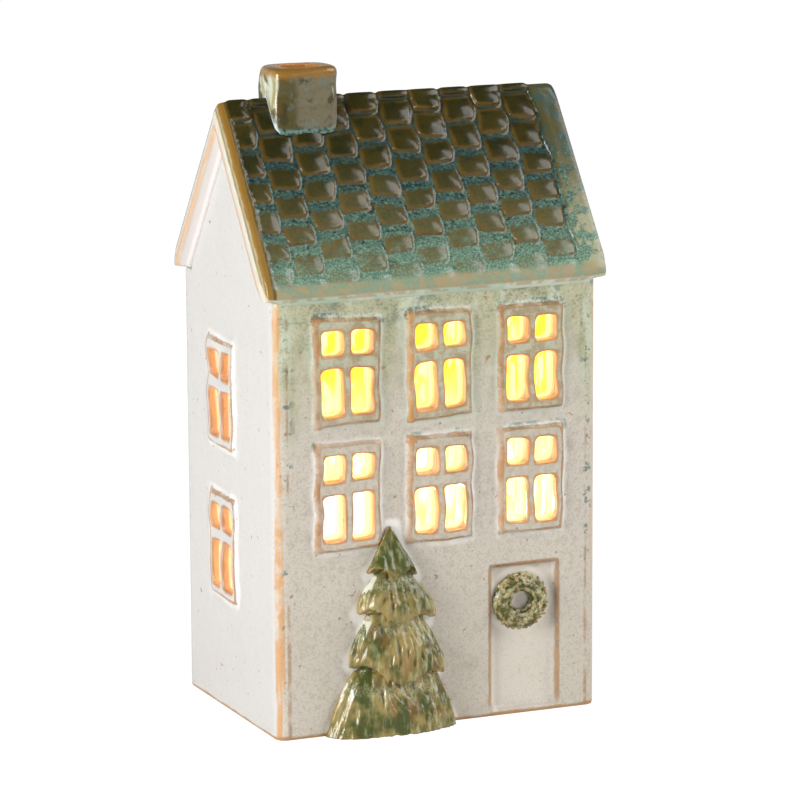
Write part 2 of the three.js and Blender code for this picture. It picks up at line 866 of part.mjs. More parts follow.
function switchSlider() {
  const y = -switchRadius;
  const across = (length) => [switchCentre - length / 2, switchCentre + length / 2];
  const along = (width) => [y - width / 2, y + width / 2];
  return geometryOf(joined([
    box(across(sliderLength), along(sliderWidth), [sliderBottom, sliderBottom + sliderHeight]),
    box(across(knobLength), along(knobWidth), [plateRecess - knobReach, sliderBottom + 0.2]),
  ]));
}

function switchBlade() {
  const z = sliderBottom + sliderHeight;
  const y = -switchRadius;
  return box([switchCentre - bladeLength / 2, switchCentre + bladeLength / 2],
    [y - bladeWidth / 2, y + bladeWidth / 2], [z, z + stripThickness]);
}

function batteryDoor() {
  const skirtTop = plateRecess + doorSkirtHeight;
  const disc = turned([
    [0, plateRecess],
    [doorSkirtRadius, plateRecess],
    [doorSkirtRadius, skirtTop],
    [doorHubRadius, skirtTop],
    [doorHubRadius, doorTop],
    [0, doorTop],
  ], 32);
  const lugs = [-1, 1].map((side) => {
    const reach = [doorHubRadius - 1, lugReach].map((radius) => side * radius);
    return box(reach.sort((a, b) => a - b), [-lugWidth / 2, lugWidth / 2], [lugBottom, doorTop]);
  });
  const slot = box([-coinSlotLength / 2, coinSlotLength / 2],
    [-coinSlotWidth / 2, coinSlotWidth / 2], [0, plateRecess + coinSlotDepth]);
  return geometryOf(cut(joined([disc, ...lugs]), [slot]));
}

// Materials

function material(color, roughness, metalness = 0) {
  return new THREE.MeshStandardMaterial({ color, roughness, metalness });
}

const wallGlaze = material(0xd9d4ca, 0.3);
const roofGlaze = material(0x4c5f45, 0.2);
const chimneyGlaze = material(0x7d7a52, 0.2);
const treeGlaze = material(0x67733a, 0.25);
const wreathGlaze = material(0x5f6d3c, 0.3);
const whitePlastic = material(0xf2efe6, 0.45);
const flamePlastic = material(0xffd9a0, 0.35);
const ledResin = material(0xffe9b8, 0.15);
const blackPlastic = material(0x1c1c1c, 0.5);
const steel = material(0xbfc1c4, 0.3, 1);
const tinnedWire = material(0xc8c8c4, 0.35, 1);
const springBrass = material(0xc9a24a, 0.35, 1);

// Assembly

function part(name, geometry, finish) {
  geometry.computeVertexNormals();
  const mesh = new THREE.Mesh(geometry, finish);
  mesh.name = name;
  return mesh;
}

const switchGroup = new THREE.Group();
switchGroup.add(
  part('switch_slider', switchSlider(), blackPlastic),
  part('switch_blade', switchBlade(), springBrass),
);

const tealight = new THREE.Group();
tealight.position.z = floorThickness;
tealight.add(
  part('tealight_cup', tealightCup(), whitePlastic),
  part('flame_lens', flameLens(), flamePlastic),
  part('flicker_led', flickerLed(), ledResin),
  part('led_anode_lead', anodeLead(), tinnedWire),
  part('led_cathode_lead', cathodeLead(), tinnedWire),
  part('base_plate', basePlate(), whitePlastic),
  part('coin_cell', coinCell(), steel),
  part('negative_contact', negativeContact(), springBrass),
  part('positive_contact', positiveContact(), springBrass),
  part('lamp_contact', lampContact(), springBrass),
  part('battery_door', batteryDoor(), whitePlastic),
  switchGroup,
);

const house = new THREE.Group();
house.add(
  part('house_walls', houseWalls(), wallGlaze),
  part('roof', roof(), roofGlaze),
  part('chimney', chimney(), chimneyGlaze),
  part('tree_relief', treeRelief(), treeGlaze),
  part('wreath_relief', wreathRelief(), wreathGlaze),
  tealight,
);

export default house;
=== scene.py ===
# Light-up house decoration: a glazed stoneware town house lit by a battery tealight.
# Metres, +Z up, the front wall facing -Y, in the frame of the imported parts.
import math

import bmesh
import bpy
import numpy as np
from mathutils import Matrix, Vector
from mathutils.bvhtree import BVHTree


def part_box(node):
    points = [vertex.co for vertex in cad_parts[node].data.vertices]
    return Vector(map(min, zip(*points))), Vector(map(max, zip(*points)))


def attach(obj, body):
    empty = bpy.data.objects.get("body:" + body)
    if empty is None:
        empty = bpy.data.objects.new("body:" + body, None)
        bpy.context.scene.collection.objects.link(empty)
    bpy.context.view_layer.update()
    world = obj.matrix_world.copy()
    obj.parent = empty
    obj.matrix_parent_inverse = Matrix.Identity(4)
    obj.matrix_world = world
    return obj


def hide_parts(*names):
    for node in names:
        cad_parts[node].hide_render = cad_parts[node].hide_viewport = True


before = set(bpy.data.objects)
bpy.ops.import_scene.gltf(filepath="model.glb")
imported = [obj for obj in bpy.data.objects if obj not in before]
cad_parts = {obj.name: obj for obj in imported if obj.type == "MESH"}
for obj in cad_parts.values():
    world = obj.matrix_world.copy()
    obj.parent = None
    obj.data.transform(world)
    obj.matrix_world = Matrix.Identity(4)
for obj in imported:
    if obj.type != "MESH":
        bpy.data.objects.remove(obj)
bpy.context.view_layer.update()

MM = 0.001

# Camera. It stands to the left of the front and a little above the middle of the house,
# at the distance that gives the photograph's perspective in a square frame.
azimuth = math.radians(-23.43)
elevation = math.radians(11.17)
roll = math.radians(-0.32)
distance = 1.293
focal_pixels = 4357
frame_pixels = 800
aim_height = 0.0899
aim_shift = 0.0034

back = Vector((math.sin(azimuth) * math.cos(elevation),
               -math.cos(azimuth) * math.cos(elevation), math.sin(elevation)))
level = Vector((math.cos(azimuth), math.sin(azimuth), 0))
upright = back.cross(level)
camera_right = level * math.cos(roll) + upright * math.sin(roll)
camera_up = upright * math.cos(roll) - level * math.sin(roll)
camera_data = bpy.data.cameras.new("camera")
camera_data.sensor_width = 36
camera_data.lens = focal_pixels / frame_pixels * camera_data.sensor_width
camera = bpy.data.objects.new("camera", camera_data)
camera_place = Vector((0, 0, aim_height)) + level * aim_shift + back * distance
camera.matrix_world = Matrix.Translation(camera_place) @ Matrix(
    (camera_right, camera_up, back)).transposed().to_4x4()
bpy.context.scene.collection.objects.link(camera)
bpy.context.scene.camera = camera
bpy.context.scene.view_settings.view_transform = "Standard"


# Floor and light. A plain pale floor in a white room with a dim ceiling, a narrow bright
# soft box to the left of the house and a broad one, turned on its corner, to the right.
def new_object(name, mesh):
    piece = bpy.data.objects.new(name, mesh)
    bpy.context.scene.collection.objects.link(piece)
    return piece


def srgb(red, green, blue):
    """A colour as it looks on a screen, 0 to 255, as the numbers that a shader takes."""
    parts = [value / 255 for value in (red, green, blue)]
    return (*[v / 12.92 if v <= 0.04045 else ((v + 0.055) / 1.055) ** 2.4 for v in parts], 1)


class Nodes:
    """A node tree, with short ways to add a node and to set or link its inputs."""

    def __init__(self, tree):
        self.tree = tree

    def fill(self, socket, value):
        if isinstance(value, bpy.types.NodeSocket):
            self.tree.links.new(value, socket)
        else:
            socket.default_value = value

    def node(self, kind, inputs=None, **settings):
        node = self.tree.nodes.new(kind)
        for key, value in settings.items():
            setattr(node, key, value)
        for key, value in (inputs or {}).items():
            self.fill(node.inputs[key], value)
        return node

    def math(self, operation, first, second=0.0, limited=False):
        return self.node("ShaderNodeMath", {0: first, 1: second}, operation=operation,
                         use_clamp=limited).outputs[0]

    def plus(self, first, second):
        return self.math("ADD", first, second)

    def minus(self, first, second):
        return self.math("SUBTRACT", first, second)

    def times(self, first, second):
        return self.math("MULTIPLY", first, second)

    def unsigned(self, value):
        return self.math("ABSOLUTE", value)


class Finish(Nodes):
    """The nodes of one material, added one after another."""

    def __init__(self, name):
        self.material = bpy.data.materials.new(name)
        self.material.use_nodes = True
        super().__init__(self.material.node_tree)
        self.shader = self.tree.nodes["Principled BSDF"]
        self.place = self.node("ShaderNodeTexCoord").outputs["Object"]
        self.x, self.y, self.z = self.node("ShaderNodeSeparateXYZ", {0: self.place}).outputs

    def attribute(self, name):
        return self.node("ShaderNodeAttribute", attribute_name=name).outputs["Fac"]

    def noise(self, scale, detail, roughness, stretch=(1, 1, 1), shift=(0, 0, 0)):
        """Noise from 0 to 1; scale is in features a metre, before the stretch."""
        place = self.node("ShaderNodeMapping", {"Vector": self.place, "Scale": stretch,
                                                "Location": shift}).outputs[0]
        inputs = {"Vector": place, "Scale": scale, "Detail": detail, "Roughness": roughness}
        return self.node("ShaderNodeTexNoise", inputs).outputs["Fac"]

    def rise(self, value, low, high):
        """Goes smoothly from 0 at low to 1 at high."""
        inputs = {"Value": value, "From Min": low, "From Max": high}
        node = self.node("ShaderNodeMapRange", inputs, interpolation_type="SMOOTHSTEP")
        return node.outputs["Result"]

    def jittered(self, value, noise, amount):
        """The value, moved up and down by a noise."""
        return self.plus(value, self.times(self.minus(noise, 0.5), amount))

    def mixed(self, share, first, second):
        """The first colour where share is 0 and the second where it is 1."""
        return self.node("ShaderNodeMix", {0: share, 6: first, 7: second},
                         data_type="RGBA").outputs[2]

    def laid(self, under, tone, share, most):
        """The under colour with a tone laid over it, as far as most, where share is 1."""
        return self.mixed(self.times(share, most), under, tone)

    def paint(self, socket, value):
        self.fill(self.shader.inputs[socket], value)

    def bump(self, height, depth, strength):
        inputs = {"Height": height, "Distance": depth, "Strength": strength}
        self.paint("Normal", self.node("ShaderNodeBump", inputs).outputs["Normal"])


floor_half = 6
floor_mesh = bpy.data.meshes.new("floor")
floor_mesh.from_pydata([(-floor_half, -floor_half, 0), (floor_half, -floor_half, 0),
                        (floor_half, floor_half, 0), (-floor_half, floor_half, 0)],
                       [], [(0, 1, 2, 3)])
floor = new_object("floor", floor_mesh)
floor_finish = Finish("pale_floor")
floor_finish.paint("Base Color", srgb(236, 235, 233))
floor_finish.paint("Roughness", 0.9)
floor_shade = floor_finish.node("ShaderNodeBsdfDiffuse", {"Color": (0.2, 0.2, 0.2, 1)})
floor_glow = floor_finish.node("ShaderNodeEmission", {"Color": (1, 1, 1, 1), "Strength": 0.95})
floor_seen = floor_finish.node("ShaderNodeAddShader", {0: floor_shade.outputs[0],
                                                       1: floor_glow.outputs[0]})
floor_rays = floor_finish.node("ShaderNodeLightPath").outputs
floor_direct = floor_finish.math("ADD", floor_rays["Is Camera Ray"],
                                 floor_rays["Is Transmission Ray"], True)
floor_mix = floor_finish.node("ShaderNodeMixShader", {
    0: floor_direct, 1: floor_finish.shader.outputs[0], 2: floor_seen.outputs[0]})
floor_finish.fill(floor_finish.tree.nodes["Material Output"].inputs[0], floor_mix.outputs[0])
floor_mesh.materials.append(floor_finish.material)

world = bpy.data.worlds.new("white_room")
bpy.context.scene.world = world
world.use_nodes = True
room = Nodes(world.node_tree)
room_background = room.tree.nodes["Background"]
room_rays = room.node("ShaderNodeLightPath").outputs
room_place = room.node("ShaderNodeTexCoord").outputs["Generated"]
room_height = room.node("ShaderNodeSeparateXYZ", {0: room_place}).outputs["Z"]
ceiling_light = room.node("ShaderNodeMapRange", {  # what gloss shows, from wall to ceiling
    "Value": room_height, "From Min": 0.15, "From Max": 0.6, "To Min": 0.5, "To Max": 0.08},
    interpolation_type="SMOOTHSTEP").outputs["Result"]
fill_light = 0.22
room_light = room.node("ShaderNodeMix", {
    0: room_rays["Is Glossy Ray"], 2: fill_light, 3: ceiling_light}).outputs[0]
seen_directly = room.math("ADD", room_rays["Is Camera Ray"],
                          room_rays["Is Transmission Ray"], True)
room_seen = room.node("ShaderNodeMix", {0: seen_directly, 2: room_light, 3: 1.0}).outputs[0]
room.fill(room_background.inputs["Strength"], room_seen)
room.fill(room_background.inputs["Color"], (1, 1, 1, 1))


soft_box_aim = Vector((0, 0, 100 * MM))


def soft_box(name, place, width, height, watts, spin=0.0):
    lamp = bpy.data.lights.new(name, "AREA")
    lamp.shape = "RECTANGLE"
    lamp.size, lamp.size_y = width, height
    lamp.energy = watts
    holder = bpy.data.objects.new(name, lamp)
    aim = soft_box_aim - Vector(place)
    turn = aim.to_track_quat("-Z", "Y").to_matrix().to_4x4()
    holder.matrix_world = Matrix.Translation(place) @ turn @ Matrix.Rotation(spin, 4, "Z")
    bpy.context.scene.collection.objects.link(holder)


soft_box("left_box", (-0.96, -0.28, 0.31), 0.42, 0.56, 10.8)
soft_box("right_box", (0.994, -0.529, 0.75), 1.0, 1.0, 14.0, math.radians(45))


# Walls. One body of buff stoneware, cast in a mould and pierced by hand, under a grey-white
# glaze that breaks amber on every edge and takes a run of celadon from the roof above.
def array_of(collection, key, width, kind=np.float64):
    flat = np.empty(len(collection) * width, np.float32 if kind is np.float64 else kind)
    collection.foreach_get(key, flat)
    return flat.reshape(-1, width).astype(kind)


def points_of(mesh):
    return array_of(mesh.vertices, "co", 3)


def links_of(mesh):
    return array_of(mesh.edges, "vertices", 2, np.int32)


def normals_of(mesh):
    return array_of(mesh.vertex_normals, "vector", 3)


def move_points(mesh, points):
    mesh.vertices.foreach_set("co", points.astype(np.float32).ravel())
    mesh.update()


def shade_smooth(mesh):
    for polygon in mesh.polygons:
        polygon.use_smooth = True


def write_attribute(mesh, name, values):
    layer = mesh.attributes.get(name) or mesh.attributes.new(name, "FLOAT", "POINT")
    layer.data.foreach_set("value", values.astype(np.float32))


def welded_copy(node):
    """A copy of a CAD part's mesh with its triangles joined."""
    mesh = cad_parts[node].data.copy()
    mesh.materials.clear()
    shell = bmesh.new()
    shell.from_mesh(mesh)
    bmesh.ops.remove_doubles(shell, verts=shell.verts, dist=1e-6)
    shell.to_mesh(mesh)
    shell.free()
    return mesh


def joined(name, meshes):
    """One mesh that holds several."""
    shell = bmesh.new()
    for mesh in meshes:
        shell.from_mesh(mesh)
    whole = bpy.data.meshes.new(name)
    shell.to_mesh(whole)
    shell.free()
    return whole


def plain(piece):
    """Turns a piece with its modifiers into a plain mesh."""
    graph = bpy.context.evaluated_depsgraph_get()
    mesh = bpy.data.meshes.new_from_object(piece.evaluated_get(graph))
    piece.modifiers.clear()
    piece.data = mesh
    return mesh


def cast_clay(name, meshes, spacing):
    """One even-grained clay body out of overlapping closed meshes."""
    piece = new_object(name, joined(name, meshes))
    clay = piece.modifiers.new("clay", "REMESH")
    clay.mode = "VOXEL"
    clay.voxel_size = spacing
    plain(piece)
    return piece


def neighbour_mean(values, links):
    first, second = links.T
    count = len(values)
    total = [np.bincount(first, column[second], count) + np.bincount(second, column[first], count)
             for column in values.T]
    return np.stack(total, 1) / np.bincount(links.ravel(), minlength=count)[:, None]


def softened(values, links, spread, spacing):
    """Values on a mesh, blurred over a distance."""
    for _ in range(max(1, round(4 * (spread / spacing) ** 2))):
        values = (values + neighbour_mean(values, links)) / 2
    return values


def relief_of(mesh, spread, spacing):
    """How far the surface stands out of its own blur, in shares of the blur's distance."""
    points = points_of(mesh)
    away = points - softened(points, links_of(mesh), spread, spacing)
    return (away * normals_of(mesh)).sum(1) / spread


def wander(points, wavelength, seed):
    """A smooth random push in three directions, about 1 long."""
    draw = np.random.default_rng(seed)
    push = np.zeros_like(points)
    waves = 7
    for _ in range(waves):
        direction = draw.normal(size=3)
        direction *= 2 * math.pi / wavelength * draw.uniform(0.6, 1.4) / np.linalg.norm(direction)
        push += np.outer(np.sin(points @ direction + draw.uniform(0, 2 * math.pi)),
                         draw.normal(size=3))
    return push / math.sqrt(waves)


def thinned(piece, keep, target):
    """Takes triangles out of a piece, first where keep is low, then wherever it is flattest."""
    group = piece.vertex_groups.new(name="plain")
    loose = np.flatnonzero(keep < 0.5)
    group.add(loose.tolist(), 1.0, "REPLACE")
    for group_name in (group.name, ""):
        triangles = sum(len(polygon.vertices) - 2 for polygon in piece.data.polygons)
        thin = piece.modifiers.new("thin", "DECIMATE")
        thin.ratio = min(1.0, target / triangles)
        thin.vertex_group = group_name
        plain(piece)
    piece.vertex_groups.clear()
    return piece.data


def smooth_step(value, low, high):
    share = np.clip((value - low) / (high - low), 0, 1)
    return share * share * (3 - 2 * share)


wall_half = 51.0 * MM
depth_half = 36.5 * MM
wall_thickness = 7.0 * MM
window_width = 20.3 * MM
window_height = 31.5 * MM
window_spacing = 29.0 * MM
window_shift = 0.4 * MM
row_heights = (107.2 * MM, 70.8 * MM)
side_window_shift = 4.8 * MM
side_row_heights = (95.5 * MM, 49.6 * MM)
pane_width = 6.6 * MM
mullion = 2.5 * MM
tall_pane, short_pane = 13.6 * MM, 7.5 * MM
tall_pane_rise, short_pane_rise = -6.15 * MM, 8.3 * MM
door_middle = 27.3 * MM
door_width, door_height = 22.3 * MM, 44.6 * MM
door_foot = 1.0 * MM
hand_cut = 0.26 * MM
walls_spacing = 0.55 * MM
walls_rounding = 0.4 * MM
walls_crest_reach = 0.9 * MM
walls_blur_reach = 1.2 * MM
walls_triangles = 197000
walls_flat = 0.012
halo_weight = 20
run_drip = 62 * MM
celadon_run = (84 * MM, 122 * MM)
teal_run = (104 * MM, 128 * MM)
speck_run = (100 * MM, 130 * MM)
upper_storey = (78 * MM, 96 * MM)
light_change = (64 * MM, 94 * MM)
crack_place = 47.2 * MM

walls = cast_clay("walls", [welded_copy("house_walls")], walls_spacing)
walls_links = links_of(walls.data)
walls_points = softened(points_of(walls.data), walls_links, walls_rounding, walls_spacing)
move_points(walls.data, walls_points)


def outline_gaps(points, width, height, places):
    """Distance outside the nearest rounded outline on the walls' faces, negative within."""
    nearest = np.full(len(points), 1.0)
    x, y, z = points.T
    face = 1.3 * MM
    for side, across, middle_height in places:
        on_wall, along = {"front": (y < -depth_half + face, x), "left": (x < -wall_half + face, y),
                          "right": (x > wall_half - face, y)}[side]
        beside = np.abs(along - across) - width / 2
        above = np.abs(z - middle_height) - height / 2
        outside = np.hypot(np.maximum(beside, 0), np.maximum(above, 0))
        gap = np.where(on_wall, outside + np.minimum(np.maximum(beside, above), 0), 1.0)
        nearest = np.where(np.abs(gap) < np.abs(nearest), gap, nearest)
    return nearest


plate_places = [("front", window_shift + column * window_spacing, height)
                for column in (-1, 0, 1) for height in row_heights]
plate_places += [(side, side_window_shift, height)
                 for side in ("left", "right") for height in side_row_heights]


def pane_places(rise):
    return [(side, across + way * (pane_width + mullion) / 2, height + rise)
            for side, across, height in plate_places for way in (-1, 1)]


# The walls waver a little round the hand-cut plates and panes, and stay true elsewhere.
near_plate = outline_gaps(walls_points, window_width, window_height, plate_places)
waver = smooth_step(-near_plate, -4 * MM, -1 * MM)
wall_depth = np.minimum(wall_half - np.abs(walls_points[:, 0]),
                        np.minimum(depth_half - np.abs(walls_points[:, 1]), walls_points[:, 2]))
waver *= smooth_step(wall_thickness - wall_depth, 0.5 * MM, 3 * MM)
walls_push = wander(walls_points, 14 * MM, 5) + 0.5 * wander(walls_points, 6 * MM, 11)
rest_points = walls_points
walls_points = walls_points + hand_cut * waver[:, None] * walls_push
move_points(walls.data, walls_points)

# What the glaze follows: edges, corners, and how far a point lies in the wall's thickness.
walls_relief = relief_of(walls.data, walls_crest_reach, walls_spacing)
walls_blur = softened(np.abs(walls_relief)[:, None], walls_links, walls_blur_reach,
                      walls_spacing)[:, 0]
write_attribute(walls.data, "crest", np.clip(walls_relief, 0, 1))
walls_normals = normals_of(walls.data)
walls_inward = np.clip(wall_depth / wall_thickness, 0, 1)
write_attribute(walls.data, "inward", walls_inward)
outer = smooth_step(-wall_depth, -2.5 * MM, -1.5 * MM)
corner_turn = 2 * np.abs(walls_normals[:, 0] * walls_normals[:, 1])
at_corner = (np.abs(walls_points[:, 0]) > wall_half - 4 * MM) & (
    np.abs(walls_points[:, 1]) > depth_half - 4 * MM)
write_attribute(walls.data, "corner", np.where(at_corner, corner_turn, 0) * outer)
at_long_wall = smooth_step(np.abs(walls_points[:, 1]), depth_half - 3 * MM, depth_half - 2 * MM)
write_attribute(walls.data, "long_wall", np.abs(walls_normals[:, 1]) * outer * at_long_wall)

# Outlines of the plates, panes and door, on the shape before it wavered.
near_pane = np.minimum(
    outline_gaps(rest_points, pane_width, tall_pane, pane_places(tall_pane_rise)),
    outline_gaps(rest_points, pane_width, short_pane, pane_places(short_pane_rise)))
near_door = outline_gaps(rest_points, door_width, door_height,
                         [("front", door_middle, door_foot + door_height / 2)])
write_attribute(walls.data, "plate_gap", near_plate / MM)
write_attribute(walls.data, "pane_gap", near_pane / MM)
write_attribute(walls.data, "door_gap", near_door / MM)
outline_reach = 2 * MM
outline_band = 1.8 * MM
above_plate = np.zeros(len(rest_points))
left_of_plate = np.zeros(len(rest_points))
for side, across, height in plate_places:
    along = rest_points[:, 0] if side == "front" else -rest_points[:, 1]
    middle = across if side == "front" else -across
    inside = (near_plate < outline_reach) & (
        np.abs(along - middle) < window_width / 2 + outline_reach) & (
        np.abs(rest_points[:, 2] - height) < window_height / 2 + outline_reach)
    top_gap = rest_points[:, 2] - height - window_height / 2
    above_plate = np.where(inside & (np.abs(top_gap) < outline_band), 1, above_plate)
    left_gap = middle - window_width / 2 - along
    left_of_plate = np.where(inside & (np.abs(left_gap) < outline_band), 1, left_of_plate)
write_attribute(walls.data, "plate_top", above_plate)
write_attribute(walls.data, "plate_left", left_of_plate)

reliefs = joined("reliefs", [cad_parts[name].data
                             for name in ("tree_relief", "wreath_relief")])
relief_vertices = [vertex.co for vertex in reliefs.vertices]
relief_faces = [tuple(polygon.vertices) for polygon in reliefs.polygons]
relief_search = BVHTree.FromPolygons(relief_vertices, relief_faces)
halo_reach = 4 * MM
halo_gap = np.full(len(walls_points), halo_reach)
front_skin = 2.2 * MM
relief_top = 70 * MM
front_points = np.flatnonzero((walls_points[:, 1] < -depth_half + front_skin)
                              & (walls_points[:, 2] < relief_top) & (wall_depth < front_skin))
for i in front_points:
    found = relief_search.find_nearest(walls_points[i], halo_reach)
    if found[0] is not None:
        halo_gap[i] = found[3]

# The glaze stands thicker and paler round the plates, the tree and the wreath.
plate_halo = 0.55 * (1 - smooth_step(np.abs(near_plate), 0.4 * MM, 3 * MM))
halo = np.maximum(plate_halo, 1 - smooth_step(halo_gap, 0.6 * MM, 3.6 * MM)) * outer
halo = np.where(near_plate < 0, 0, halo)
write_attribute(walls.data, "halo", halo)

walls_keep = np.maximum(walls_blur / walls_flat, halo * halo_weight)
walls_keep = np.where(wall_depth > wall_thickness + 0.5 * MM, 0, walls_keep)
walls_mesh = thinned(walls, walls_keep, walls_triangles)
shade_smooth(walls_mesh)

# Grey-white ground with fine specks.
wall = Finish("wall_glaze")
crest = wall.attribute("crest")
plate_gap, pane_gap = wall.attribute("plate_gap"), wall.attribute("pane_gap")
long_wall, inward = wall.attribute("long_wall"), wall.attribute("inward")
plate_left, plate_top = wall.attribute("plate_left"), wall.attribute("plate_top")
streaks = wall.noise(150, 3, 0.6, stretch=(1, 1, 0.14))
cloud = wall.noise(28, 3, 0.55)
grain = wall.noise(1500, 2, 0.6)
flecks = wall.noise(620, 3, 0.65, shift=(3, 1, 2))
patches = wall.noise(120, 3, 0.6, shift=(5, 5, 1))
smudges = wall.noise(300, 3, 0.65, shift=(2, 9, 4))
upper_share = wall.rise(wall.jittered(wall.z, patches, 20 * MM), *upper_storey)
colour = wall.mixed(cloud, srgb(214, 207, 195), srgb(203, 194, 179))
colour = wall.mixed(long_wall, srgb(204, 202, 199), colour)
grain_level = wall.plus(wall.times(long_wall, 0.27), 0.15)
colour = wall.mixed(wall.times(wall.rise(grain, 0.5, 0.66), grain_level), colour,
                    srgb(166, 154, 138))
mottle = wall.noise(420, 3, 0.65, shift=(7, 3, 1))
mottle_share = wall.times(wall.times(wall.rise(mottle, 0.5, 0.68), 0.35), long_wall)
colour = wall.mixed(mottle_share, colour, srgb(170, 168, 150))

# Celadon that ran down from the roof, with mint streaks and teal specks in it.
run_height = wall.jittered(wall.z, streaks, run_drip)
run_share = wall.times(wall.rise(run_height, *celadon_run), long_wall)
celadon = wall.mixed(wall.rise(patches, 0.4, 0.6), srgb(190, 190, 154), srgb(166, 170, 130))
dust = wall.noise(1300, 3, 0.7, shift=(6, 2, 5))
celadon = wall.laid(celadon, srgb(132, 140, 108), wall.rise(dust, 0.46, 0.64), 0.55)
celadon = wall.laid(celadon, srgb(176, 158, 118),
                    wall.rise(wall.jittered(smudges, dust, 0.3), 0.5, 0.66), 0.5)
mint_streak = wall.noise(210, 2, 0.5, stretch=(1, 1, 0.3), shift=(2, 2, 9))
celadon = wall.laid(celadon, srgb(206, 218, 196), wall.rise(mint_streak, 0.52, 0.68), 0.6)
teal_spots = wall.jittered(wall.jittered(dust, flecks, 0.6), patches, 0.7)
teal_share = wall.times(wall.rise(teal_spots, 0.52, 0.72), wall.rise(run_height, *teal_run))
celadon = wall.laid(celadon, srgb(78, 106, 92), teal_share, 0.6)
teal_specks = wall.times(wall.rise(wall.jittered(smudges, patches, 0.7), 0.56, 0.66),
                         wall.rise(run_height, *speck_run))
celadon = wall.laid(celadon, srgb(92, 112, 94), teal_specks, 0.6)
colour = wall.laid(colour, celadon, run_share, 0.85)

# Thinner, browner glaze on the window plates.
on_plate = wall.rise(plate_gap, 0.2, -0.4)
upper_plate = wall.times(upper_share, long_wall)
plate_tone = wall.mixed(wall.rise(flecks, 0.4, 0.6), srgb(206, 196, 180), srgb(184, 170, 146))
plate_upper_tone = wall.mixed(wall.rise(smudges, 0.4, 0.6), srgb(190, 190, 166),
                              srgb(168, 150, 118))
plate_tone = wall.mixed(upper_plate, plate_tone, plate_upper_tone)
plate_share = wall.plus(wall.times(long_wall, 0.5), wall.times(upper_plate, 0.35))
colour = wall.mixed(wall.times(on_plate, plate_share), colour, plate_tone)

# The pale glaze round the plates, the tree and the wreath.
halo_tone = wall.mixed(upper_plate, srgb(250, 247, 243), srgb(206, 216, 200))
halo_share = wall.rise(wall.jittered(wall.attribute("halo"), patches, 0.9), 0.12, 0.95)
colour = wall.laid(colour, halo_tone, halo_share, 0.85)

# Amber and brown where the glaze breaks along the plates, the panes and the door.
amber = wall.mixed(wall.rise(streaks, 0.35, 0.65), srgb(206, 146, 76), srgb(160, 102, 54))
brown = wall.mixed(wall.rise(smudges, 0.4, 0.6), srgb(178, 128, 76), srgb(146, 110, 72))
rim = wall.unsigned(wall.plus(plate_gap, 0.45))
rim_width = wall.plus(wall.plus(wall.times(plate_left, 0.55), wall.times(plate_top, 0.25)), 0.42)
rim_gap = wall.math("DIVIDE", wall.jittered(rim, smudges, 1.1), rim_width)
rim_share = wall.rise(rim_gap, 1.15, 0.7)
rim_spots = wall.rise(wall.jittered(patches, dust, 0.4), 0.38, 0.58)
rim_level = wall.plus(wall.times(rim_spots, 0.4), 0.42)
rim_tone = wall.mixed(wall.times(plate_left, 0.7), brown, amber)
colour = wall.mixed(wall.times(rim_share, rim_level), colour, rim_tone)
pane_rim = wall.rise(wall.jittered(pane_gap, smudges, 0.9), 0.75, 0.3)
pane_rim = wall.times(pane_rim, wall.rise(inward, 0.25, 0.12))
colour = wall.laid(colour, wall.mixed(smudges, srgb(206, 150, 84), srgb(168, 122, 76)),
                   pane_rim, 0.7)
door_gap = wall.unsigned(wall.plus(wall.attribute("door_gap"), 0.25))
door_rim = wall.rise(wall.jittered(door_gap, smudges, 0.9), 0.85, 0.4)
door_rim = wall.times(door_rim, wall.rise(wall.jittered(wall.z, patches, 4 * MM),
                                          1.5 * MM, 4 * MM))
colour = wall.laid(colour, srgb(192, 184, 170),
                   wall.rise(wall.attribute("door_gap"), 0.0, -1.0), 0.5)
colour = wall.laid(colour, rim_tone, door_rim, 0.75)

# Teal pools on the upper plates' top edges.
pool_spots = wall.rise(wall.jittered(wall.jittered(patches, flecks, 0.3), dust, 0.5), 0.46, 0.64)
pool_gap = wall.rise(wall.unsigned(wall.plus(plate_gap, -0.5)), 1.2, 0.5)
pool_share = wall.times(wall.times(pool_gap, pool_spots), wall.times(plate_top, upper_plate))
colour = wall.laid(colour, srgb(70, 98, 88), pool_share, 0.8)

# Amber corners, a crack line beside them, dark edge spots, brown drops and a bare foot.
away = wall.rise(wall.unsigned(plate_gap), 0.8, 1.6)
amber_share = wall.times(wall.rise(wall.jittered(crest, patches, 0.24), 0.1, 0.24), 0.6)
amber_share = wall.times(wall.times(amber_share, away), wall.rise(wall.z, 127 * MM, 124 * MM))
colour = wall.laid(colour, amber, amber_share, 0.9)
corner_streaks = wall.noise(700, 3, 0.6, stretch=(1, 1, 0.08), shift=(1, 7, 3))
corner_share = wall.rise(wall.jittered(wall.attribute("corner"), corner_streaks, 1.5), 0.6, 1.0)
corner_level = wall.plus(wall.times(wall.rise(wall.x, 0.0, -20 * MM), 0.45), 0.3)
corner_spots = wall.plus(wall.times(wall.rise(patches, 0.35, 0.5), 0.6), 0.4)
corner_level = wall.times(corner_level, corner_spots)
colour = wall.mixed(wall.times(corner_share, corner_level), colour, srgb(204, 144, 70))
crack_gap = wall.unsigned(wall.minus(wall.unsigned(wall.x), crack_place))
crack_share = wall.rise(wall.jittered(crack_gap, streaks, 1.2 * MM), 0.7 * MM, 0.2 * MM)
crack_share = wall.times(wall.times(crack_share, long_wall), wall.rise(patches, 0.44, 0.58))
colour = wall.laid(colour, brown, crack_share, 0.6)
edge_gap = wall.minus(wall_half, wall.unsigned(wall.x))
edge_spots = wall.times(wall.rise(edge_gap, 7.5 * MM, 3 * MM),
                        wall.rise(wall.jittered(smudges, streaks, 0.4), 0.6, 0.68))
